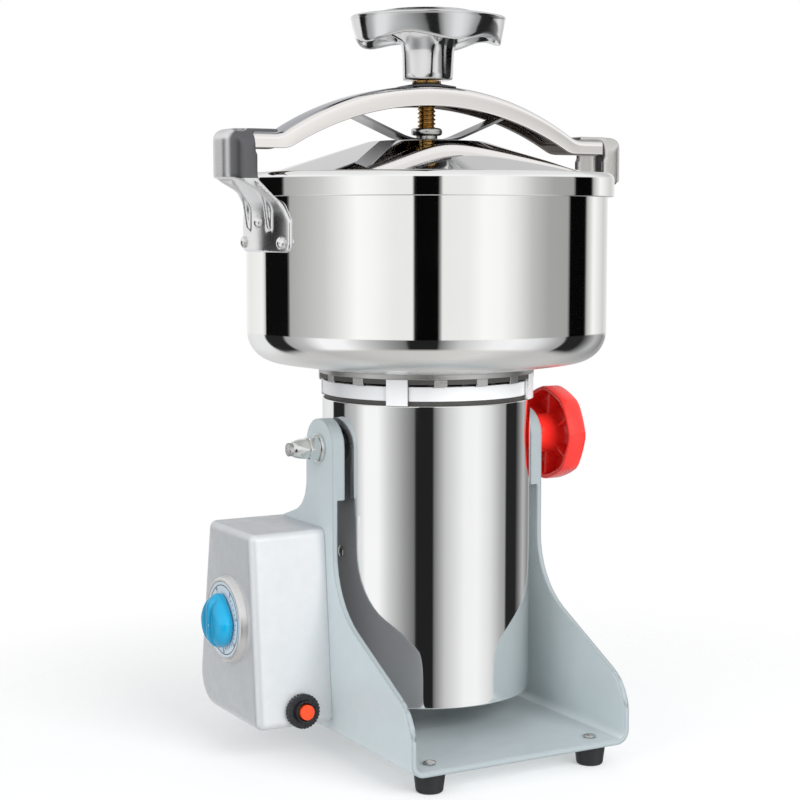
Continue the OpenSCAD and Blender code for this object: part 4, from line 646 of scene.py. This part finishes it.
turned("pivot_washer", rounded([
    (0.0041, 0, 0), (0.0085, 0, 0.0002), (0.0085, 0.0016, 0.0004), (0.0041, 0.0016, 0)], 3),
    nut_steel, "swing", "pivot_nuts", 96, place=nut_place)
lofted("plain_nut", [hex_ring(nut_flats, *loop) for loop in (
    (0.0041, 0.00165), (0.0064, 0.00165), (0.0069, 0.0019), (0.0074, 0.0023), (0.0078, 0.0028),
    (0.0078, 0.0070), (0.0074, 0.0075), (0.0069, 0.0079), (0.0064, 0.0081), (0.0041, 0.0081))], nut_steel,
    "swing", "pivot_nuts", 28, place=nut_place)
lofted("cap_nut", [hex_ring(cap_flats - max(loop[1] - cap_from, 0) * cap_lean, *loop) for loop in (
    (0.0041, 0.0082), (0.0060, 0.0082), (0.0064, 0.0085), (0.0067, 0.0090), (0.0067, 0.0098),
    (0.0064, 0.0112), (0.0060, 0.0128), (0.0056, 0.0143), (0.0052, 0.0156), (0.0050, 0.0163),
    (0.0047, 0.0170), (0.0043, 0.0177), (0.0037, 0.0184), (0.0030, 0.0189), (0.0021, 0.0193),
    (0.0011, 0.01955), (0.0002, 0.0196))], nut_steel, "swing", "pivot_nuts", 55, place=nut_place)
smooth_copy("lock_stud", "swing", screw_steel)
smooth_copy("lock_washer", "lock_washer", screw_steel)
brass = surface("machined_brass", (0.50, 0.31, 0.10), (0.36, 0.20, 0.06), 0.2, metal=1.0, depth=0.06)
smooth_copy("lock_insert", "lock_knob", brass)
red_plastic = surface("red_plastic", (0.98, 0.035, 0.025), (0.92, 0.028, 0.02), 0.24, grain=600, depth=0.03,
                      edge=0.0012, coat=0.3)
lock_r, lock_depth, lock_wall, lock_bore_r = 0.0289, 0.0137, 0.0030, 0.0066
rim_back, rim_in = lock_depth - lock_wall, lock_r - lock_wall
star_cut, star_dip, star_share = 0.058, 0.010, 0.66
lock_place = Matrix.Translation((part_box("lock_knob")[1].x - lock_depth, 0, pivot_z)) @ Matrix.Rotation(
    math.pi / 2, 4, "Y")


def lock_ring(r, z, facet=1.0):
    """One loop of the star knob: eight soft flats that meet in small rounds."""
    ring = []
    for k in range(192):
        a = 2 * math.pi * k / 192
        b = (a + math.pi / 8) % (math.pi / 4) - math.pi / 8
        flat = min(1 / math.cos(b) - 1, star_cut)
        q = r * (1 + facet * (flat - star_dip * flat / star_cut) * star_share)
        ring.append((q * math.cos(a + math.pi / 8), q * math.sin(a + math.pi / 8), z))
    return ring


lofted("lock_rim", [lock_ring(*loop) for loop in (
    (0.0095, rim_back, 0), (0.022, rim_back, 0.3), (rim_in - 0.0012, rim_back),
    (rim_in - 0.0004, rim_back - 0.0006), (rim_in, rim_back - 0.0018), (rim_in + 0.0006, 0.0006),
    (rim_in + 0.0008, 0.0002), (rim_in + 0.0012, 0), (lock_r - 0.0008, 0), (lock_r - 0.0003, 0.0002),
    (lock_r, 0.0007), (lock_r, lock_depth - 0.0030), (lock_r - 0.0004, lock_depth - 0.0014),
    (lock_r - 0.0014, lock_depth - 0.0004), (lock_r - 0.0028, lock_depth),
    (lock_r - 0.0060, lock_depth, 0.8), (0.0095, lock_depth, 0))],
    red_plastic, "lock_knob", "lock_knob", 50, place=lock_place)
lock_hub = turned("lock_hub", rounded([
    (lock_bore_r, -0.0112, 0), (0.0118, -0.0112, 0.0015), (0.0122, -0.0060, 0.010),
    (0.0128, rim_back - 0.0040, 0.006), (0.0165, rim_back + 0.0003, 0),
    (lock_bore_r, rim_back + 0.0003, 0)], 8), red_plastic, "lock_knob", None, 128, place=lock_place)


def block(size, edge=0.0):
    """A small block about the origin with its edges broken, to be copied to its places."""
    bpy.ops.object.select_all(action="DESELECT")
    bpy.ops.mesh.primitive_cube_add(size=1, location=(0, 0, 0))
    first = bpy.context.object
    bpy.ops.object.mode_set(mode="EDIT")
    bpy.ops.mesh.select_all(action="SELECT")
    bpy.ops.transform.resize(value=size)
    if edge:
        bpy.ops.mesh.bevel(offset=edge, segments=2, affect="EDGES")
    bpy.ops.object.mode_set(mode="OBJECT")
    return first


def copied(first, name, places, finish, body):
    """Copies of a modelled piece, each with its own mesh, one at each place; the first itself goes."""
    for i, place in enumerate(places):
        piece = first.copy()
        piece.data = first.data.copy()
        bpy.context.collection.objects.link(piece)
        piece.name = name + "_" + str(i + 1)
        piece.data.name = piece.name
        piece.data.transform(place)
        piece.data.materials.append(finish)
        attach(piece, body)
    bpy.data.objects.remove(first)


rib_r, rib_z, rib_turn = 0.0189, 0.0068, 5
lock_rib = block((0.0165, 0.0017, 0.0082), 0.0004)
bpy.ops.object.shade_smooth_by_angle(angle=math.radians(40))
copied(lock_rib, "lock_rib", [
    lock_place @ Matrix.Rotation(math.radians(60 * i + rib_turn), 4, "Z") @ Matrix.Translation(
        (rib_r, 0, rib_z)) for i in range(6)], red_plastic, "lock_knob")

# The neck. A casting between tube and bowl, dark and rough round its vents, with a ring and four lugs
# that are machined bright.
neck_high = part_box("neck_casting")[1]
vent_cast = surface("vent_casting", (0.13, 0.125, 0.12), (0.06, 0.058, 0.055), 0.5, metal=0.3, grain=420,
                    depth=0.4)
smooth_copy("neck_casting", "swing", vent_cast)
cut_metal = surface("machined_metal", (0.98, 0.98, 0.99), (0.94, 0.94, 0.95), 0.3, metal=0.15, grain=400,
                    depth=0.0, edge=0.0004)
rib_cast = surface("rib_casting", (0.60, 0.59, 0.58), (0.46, 0.455, 0.45), 0.3, metal=0.85, grain=420,
                   depth=0.12)
lug_top, collar_deep, skin = 0.2292, 0.002, 0.0002
neck_collar = turned("neck_collar", rounded([
    (neck_high.x - collar_deep, lug_top, 0), (neck_high.x + skin, lug_top, 0.0004),
    (neck_high.x + skin, neck_high.z, 0), (neck_high.x - collar_deep, neck_high.z, 0)], 4),
    rib_cast, "swing", None, 192)
lug_turns = [45, 135, 225, 315]
vent_rib_z, vent_rib_sunk = 0.2271, 0.0005
copied(block((0.0012, 0.0078, 0.0044), 0.0004), "vent_rib", [
    Matrix.Rotation(math.radians(turn + 22.5 * step), 4, "Z")
    @ Matrix.Translation((neck_high.x - vent_rib_sunk, 0, vent_rib_z))
    for turn in lug_turns for step in (1, 2, 3)], rib_cast, "swing")
ring_z0, ring_z1, machined_r, machined_deep = 0.2166 - skin, 0.2247 + skin, 0.0637, 0.003
machined_ring = turned("machined_ring", rounded([
    (machined_r - machined_deep, ring_z0, 0), (machined_r, ring_z0, 0.0004), (machined_r, ring_z1, 0.0004),
    (machined_r - machined_deep, ring_z1, 0)], 4), cut_metal, "swing", None, 192)
lug_wide, lug_thick, lug_foot = 0.013, 0.0022, tube_high.z + 0.0003
lug = block((lug_thick, lug_wide, lug_top - lug_foot))
bpy.ops.object.mode_set(mode="EDIT")
bpy.ops.mesh.select_all(action="SELECT")
bpy.ops.mesh.subdivide(number_cuts=6)
lug_skin = bmesh.from_edit_mesh(lug.data)
for v in lug_skin.verts:
    v.co.x += math.sqrt((neck_high.x + skin) ** 2 - v.co.y ** 2) - lug_thick / 2
bmesh.update_edit_mesh(lug.data)
bpy.ops.object.mode_set(mode="OBJECT")
bpy.ops.object.shade_smooth_by_angle(angle=math.radians(30))
copied(lug, "bright_lug", [
    Matrix.Rotation(math.radians(turn), 4, "Z") @ Matrix.Translation((0, 0, (lug_top + lug_foot) / 2))
    for turn in lug_turns], cut_metal, "swing")

# The bowl. Spun stainless steel, polished on its wall and left satin underneath, seated on the neck
# casting. Inside it the shaft passes a seal and carries the blades.
bowl_low, bowl_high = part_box("bowl")
bowl_r, bowl_wall, bowl_corner = bowl_high.x, 0.002, 0.019
bowl_flat_r, bowl_rise, bowl_hole_r = 0.066, 0.00658, 0.0181
bowl_z0, bowl_z1 = bowl_low.z, bowl_high.z
bowl_steel = surface("bowl_steel", (0.93, 0.93, 0.925), (0.90, 0.90, 0.895), 0.035, metal=1.0, grain=500,
                     depth=0.0, spread=0.012)
toned(bowl_steel, "Object", 2, (bowl_z0 + 0.009, bowl_z0 + 0.018), rough=0.36)
turned("bowl_shell", rounded([
    (bowl_hole_r, bowl_z0, 0), (bowl_flat_r, bowl_z0, bowl_corner),
    (bowl_r, bowl_z0 + bowl_rise, bowl_corner), (bowl_r, bowl_z1, 0.0007),
    (bowl_r - bowl_wall, bowl_z1, 0.0007),
    (bowl_r - bowl_wall, bowl_z0 + bowl_rise + bowl_wall, bowl_corner - bowl_wall),
    (bowl_flat_r, bowl_z0 + bowl_wall, bowl_corner), (bowl_hole_r, bowl_z0 + bowl_wall, 0)], 14),
    bowl_steel, "swing", "bowl", 256)
smooth_copy("bowl_screws", "swing", screw_steel)
smooth_copy("shaft_seal", "swing", screw_steel)
blade_steel = surface("blade_steel", (0.55, 0.56, 0.57), (0.42, 0.43, 0.44), 0.3, metal=1.0, grain=300,
                      depth=0.05, edge=0.0003)
for layer in ("lower_blade", "middle_blade", "upper_blade", "blade_spacers", "blade_nut"):
    smooth_copy(layer, "rotor", blade_steel)


# The ears. Each is one polished casting, softly rounded all over: a hollow hood over the beam's end, a
# curved strut with a rib, and a foot held to the bowl's wall by three pins.
def cast_copy(node, body, finish, grain, rounds, shoulder=0.007, hood=0.012, ease=0.010):
    """A copy of a construction piece with its edges worn round, and most of all its hood's outer shoulder."""
    piece = smooth_copy(node, body, finish)
    bpy.ops.object.select_all(action="DESELECT")
    bpy.context.view_layer.objects.active = piece
    piece.select_set(True)
    bpy.ops.object.modifier_add(type="REMESH")
    piece.modifiers[-1].mode = "VOXEL"
    piece.modifiers[-1].voxel_size = grain
    bpy.ops.object.modifier_apply(modifier=piece.modifiers[-1].name)
    bpy.ops.object.modifier_add(type="SMOOTH")
    piece.modifiers[-1].iterations = rounds
    bpy.ops.object.modifier_apply(modifier=piece.modifiers[-1].name)
    bpy.ops.object.shade_smooth()
    low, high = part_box(node)
    outer = max(abs(low.x), high.x)
    for v in piece.data.vertices:
        above = min(max(v.co.z - (high.z - shoulder), 0.0) / shoulder, 1.0)
        outward = min(max(abs(v.co.x) - outer + hood, 0.0) / ease, 1.0)
        v.co.x -= math.copysign(shoulder * (1 - math.sqrt(1 - above * above)) * outward, v.co.x)
    return piece


hood_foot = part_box("left_ear")[1].z - 0.0285
ear_steel = surface("ear_casting", (0.88, 0.88, 0.89), (0.80, 0.80, 0.81), 0.16, metal=1.0, grain=160)
toned(ear_steel, "Object", 2, (0.332, 0.321), rough=0.34)
# Painted reflection: the forward faces of the left ear's hood are painted near black, as a dark reflection.
toned(ear_steel, "Normal", 1, (-0.66, -0.40), colour=(0.16, 0.16, 0.17), where=(2, "GREATER_THAN", hood_foot))
ear_rough = surface("ear_rough", (0.76, 0.75, 0.73), (0.56, 0.55, 0.53), 0.3, metal=0.9, grain=240,
                    depth=0.12)
# Painted shade: the right ear's faces that look left, towards the bowl's middle, are painted near black.
toned(ear_rough, "Normal", 0, (-0.95, -0.6), colour=(0.13, 0.13, 0.13))
for side, finish in (("left_ear", ear_steel), ("right_ear", ear_rough)):
    cast_copy(side, "swing", finish, 0.0006, 30).visible_glossy = False
pin_steel = surface("pin_steel", (0.88, 0.88, 0.88), (0.8, 0.8, 0.8), 0.12, metal=1.0, grain=1500,
                    edge=0.0006)
smooth_copy("ear_screws", "swing", pin_steel)

# The clamp beam. A pressed channel, polished, arched from ear to ear, with a bent washer and a brass bush
# in its middle.
beam_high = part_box("clamp_beam")[1]
beam_top, beam_end, beam_half, beam_tip = beam_high.z, beam_high.z - 0.0305, beam_high.y, beam_high.x
beam_sheet, beam_bend, beam_ease, beam_lip = 0.0025, 0.0034, 0.016, 0.0008
beam_arc, beam_deep, beam_end_deep = 0.18694, 0.0121, 0.0086


def arch_height(x, top, end, r):
    """Height of an arched edge at x: a long arc that turns out into a flat end."""
    reach = r + beam_ease
    rise = end + beam_ease - (top - r)
    foot = math.sqrt(reach * reach - rise * rise)
    turn = math.asin(foot / reach)
    x = abs(x)
    if x <= r * math.sin(turn):
        return top - r + math.sqrt(r * r - x * x)
    if x < foot:
        return end + beam_ease - math.sqrt(max(beam_ease ** 2 - (foot - x) ** 2, 0))
    return end


def channel(x):
    """The beam's cross-section at x: a channel, open below, with rounded shoulders."""
    top = arch_height(x, beam_top, beam_end, beam_arc)
    foot = arch_height(x, beam_top - beam_deep, beam_end - beam_end_deep, beam_arc * 1.02)
    w, t = beam_half, beam_sheet
    return [(x, y, z) for y, z in rounded([
        (-w, foot, beam_lip), (-w, top, beam_bend), (w, top, beam_bend), (w, foot, beam_lip),
        (w - t, foot, beam_lip), (w - t, top - t, beam_bend - t), (-w + t, top - t, beam_bend - t),
        (-w + t, foot, beam_lip)], 6)]


beam_places = [-beam_tip + beam_tip * 2 * i / 132 for i in range(133)]
beam_steel = surface("beam_steel", (0.95, 0.925, 0.905), (0.92, 0.895, 0.875), 0.06, metal=1.0, grain=500,
                     depth=0.0, spread=0.02)
# Painted shade: the beam's upward faces are painted a darker grey.
toned(beam_steel, "Normal", 2, (0.9, 0.6), colour=(0.40, 0.41, 0.45))
# Painted shade: the beam's downward faces are painted a dark brown.
toned(beam_steel, "Normal", 2, (-0.9, -0.6), colour=(0.16, 0.145, 0.135))
# Painted shade: the inner face of the beam's far flange is painted the same dark brown.
toned(beam_steel, "Normal", 1, (-0.9, -0.5), colour=(0.16, 0.145, 0.135), where=(1, "GREATER_THAN", 0))
lofted("beam_channel", [channel(x) for x in beam_places], beam_steel, "swing", "clamp_beam", 30)
washer_black = surface("washer_black", (0.03, 0.03, 0.035), (0.05, 0.05, 0.05), 0.4, depth=0.05)
washer_low, washer_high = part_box("beam_washer")
washer_bore_r, washer_edge, washer_bend = 0.0062, 0.0012, 0.374
bent_washer = turned("bent_washer", rounded([
    (washer_bore_r, washer_low.z + 0.0001, 0), (washer_high.x, washer_low.z + 0.0001, 0.0002),
    (washer_high.x, washer_low.z + 0.0008, 0.0004), (0.0090, washer_high.z, 0),
    (washer_bore_r, washer_high.z, 0)], 4), washer_black, "swing", "beam_washer", 96)
for v in bent_washer.data.vertices:
    v.co.y = min(max(v.co.y, washer_edge - beam_half), beam_half - washer_edge)
    v.co.z -= v.co.x ** 2 / washer_bend
smooth_copy("threaded_bush", "swing", brass)

# The lid. Pressed stainless steel with a seal under its edge and, on its crown, a sprung strap that the
# screw's collar presses down.
lid_low, lid_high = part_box("lid")
lid_r, lid_wall, skirt_z, crown_z = lid_high.x, 0.0016, lid_low.z, lid_high.z
rim_z, crown_r, shoulder_r, neck_r = crown_z - 0.0193, 0.036, lid_r - 0.016, 0.00586
turned("lid_shell", rounded([
    (neck_r, crown_z, 0), (neck_r, crown_z - lid_wall, 0), (crown_r - 0.0003, crown_z - lid_wall, 0.012),
    (shoulder_r - 0.0003, rim_z - lid_wall, 0.010), (lid_r - lid_wall, rim_z - lid_wall, 0.0024),
    (lid_r - lid_wall, skirt_z, 0.0005), (lid_r, skirt_z, 0.0005), (lid_r, rim_z, 0.004),
    (shoulder_r, rim_z, 0.010), (crown_r, crown_z, 0.012)], 12),
    mirror_steel, "lid", "lid", 256)
seal_rubber = surface("seal_rubber", (0.6, 0.6, 0.57), (0.55, 0.55, 0.52), 0.5, depth=0.05)
smooth_copy("lid_seal", "lid", seal_rubber)
strap_steel = surface("strap_steel", (0.62, 0.62, 0.63), (0.52, 0.52, 0.53), 0.18, metal=1.0, grain=500,
                      depth=0.04)
# Painted shade: the strap is painted near black at the crown, fading out 20 mm above it.
toned(strap_steel, "Object", 2, (crown_z + 0.002, crown_z + 0.022), colour=(0.05, 0.05, 0.055))
smooth_copy("lid_hanger", "lid", strap_steel)


# The clamp screw. Turned brass with a round thread, a steel collar that pushes on the lid, and a polished
# hand wheel with five lobes on top.
def threaded(name, z0, z1, r, pitch, depth, plain_foot, plain_top, finish, body, node):
    """A bar with a round-crested right-hand thread from z0 to z1, and plain (radius, height) ends."""
    count, per_turn = 48, 14
    around = [2 * math.pi * k / count for k in range(count)]
    loops = [[(q * math.cos(a), q * math.sin(a), z) for a in around] for q, z in plain_foot]
    rings = int((z1 - z0) / pitch * per_turn)
    for i in range(rings + 1):
        z = z0 + (z1 - z0) * i / rings
        fade = min(1, (z - z0) / pitch * 2 + 0.001, (z1 - z) / pitch * 2 + 0.001)
        ring = []
        for a in around:
            wave = 0.5 - 0.5 * math.cos(2 * math.pi * (z / pitch - a / (2 * math.pi)))
            q = r - depth * fade * wave ** 0.7
            ring.append((q * math.cos(a), q * math.sin(a), z))
        loops.append(ring)
    loops += [[(q * math.cos(a), q * math.sin(a), z) for a in around] for q, z in plain_top]
    return lofted(name, loops, finish, body, node, 60)


screw_low, screw_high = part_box("clamp_screw")
collar_low, collar_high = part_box("screw_collar")
thread_r, thread_pitch, thread_depth, thread_top, bar_r = 0.0056, 0.0025, 0.0011, 0.4085, 0.00577
satin_steel = surface("satin_steel", (0.62, 0.61, 0.60), (0.5, 0.5, 0.49), 0.26, metal=1.0, grain=700,
                      depth=0.06)
threaded("brass_screw", collar_high.z - 0.0005, thread_top, thread_r, thread_pitch, thread_depth,
         [(0.0057, screw_low.z), (bar_r, screw_low.z + 0.0003), (bar_r, collar_high.z - 0.001)],
         [(0.0055, thread_top + 0.0002), (0.0055, screw_high.z - 0.0003), (0.0052, screw_high.z)],
         brass, "clamp_screw", "clamp_screw")
sleeve_r, sleeve_bore_r, collar_curve = 0.0066, 0.0058, 0.0021
turned("collar_round", rounded([
    (sleeve_bore_r, crown_z + 0.0002, 0), (sleeve_r, crown_z + 0.0002, 0.0002),
    (sleeve_r, collar_low.z + 0.0002, 0.0004), (collar_high.x, collar_low.z + 0.0002, collar_curve),
    (collar_high.x, collar_high.z, collar_curve), (0.0064, collar_high.z, 0.0004),
    (sleeve_bore_r, collar_high.z - 0.0004, 0)], 6), satin_steel, "clamp_screw", "screw_collar", 96)
smooth_copy("screw_keeper", "clamp_screw", screw_steel)
wheel_steel = surface("wheel_casting", (0.78, 0.78, 0.79), (0.70, 0.70, 0.71), 0.09, metal=1.0, grain=120,
                      depth=0.015)
wheel_low, wheel_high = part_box("hand_wheel")
wheel_top, wheel_foot, wheel_r, wheel_lobe, wheel_wave = wheel_high.z, wheel_low.z, 0.0478, 0.0016, 0.0041
rim_foot, lobe_turn = wheel_top - 0.0209, math.radians(-27)
wheel_lobes, wheel_steps = 5, 200


def wheel_ring(r, z, lobe=0.0, wave=0.0, rib=0.0, flute=0.0):
    """One loop of the wheel: drawn in between lobes by lobe and flute, raised by wave, lowered by rib."""
    ring = []
    for k in range(wheel_steps):
        a = 2 * math.pi * k / wheel_steps
        lobes = math.cos(wheel_lobes * (a - lobe_turn))
        between = 0.5 - 0.5 * lobes
        q = r - (wheel_lobe * lobe + flute) * between
        height = z + wheel_wave * wave * between - rib * max(0.0, lobes) ** 3
        ring.append((q * math.cos(a), q * math.sin(a), height))
    return ring


hub_rings = [wheel_ring(*ring) for ring in (
    (0.0142, wheel_foot), (0.0153, wheel_foot + 0.0002, 0, 0, 0, 0.0008),
    (0.0158, wheel_foot + 0.0009, 0.1, 0, 0, 0.0011), (0.0160, wheel_foot + 0.004, 0.2, 0, 0, 0.0013),
    (0.0162, wheel_foot + 0.010, 0.3, 0, 0, 0.0013))]
rim_rings = [wheel_ring(r, rim_foot + z, *rest) for r, z, *rest in (
    (0.0165, -0.004, 0.4, 0, 0.0005, 0.0013), (0.0170, -0.001, 0.6, 0, 0.001, 0.0011),
    (0.0180, 0.003, 0.8, 0, 0.0025, 0.0008), (0.0195, 0.0065, 0.8, 0, 0.0050, 0.0004),
    (0.0218, 0.0098, 0.6, 0, 0.0075), (0.0250, 0.0120, 0.5, 0, 0.0085), (0.0300, 0.0130, 0.5, 0, 0.0082),
    (0.0350, 0.0132, 0.8, 0, 0.0075), (0.0395, 0.0128, 1, 0, 0.0068), (0.0418, 0.0114, 1, 0, 0.0055),
    (0.0424, 0.0082, 1, 0.1, 0.0034), (0.0426, 0.0054, 1, 0.5, 0.0013), (0.0428, 0.0019, 1, 1),
    (0.0431, 0.0006, 1, 1), (0.0437, 0, 1, 1), (0.0443, 0.0001, 1, 1), (0.0449, 0.0008, 1, 1),
    (0.0453, 0.0024, 1, 1), (0.0459, 0.0060, 1, 0.6), (0.0467, 0.0100, 1, 0.2), (0.0472, 0.0136, 1),
    (0.0474, 0.0148, 1), (0.0477, 0.0152, 1), (wheel_r, 0.0157, 1), (0.0477, 0.0162, 1), (0.0472, 0.0166, 1),
    (0.0462, 0.0168, 1), (0.0400, 0.0176, 0.8), (0.0330, 0.0184, 0.5), (0.0300, 0.0188, 0.2),
    (0.0292, 0.0192), (0.0282, 0.0198), (0.0268, 0.0202), (0.0200, 0.0206), (0.0080, 0.02085))]
lofted("wheel_body", hub_rings + rim_rings + [wheel_ring(0.0006, wheel_top)], wheel_steel, "clamp_screw",
       "hand_wheel", 60)
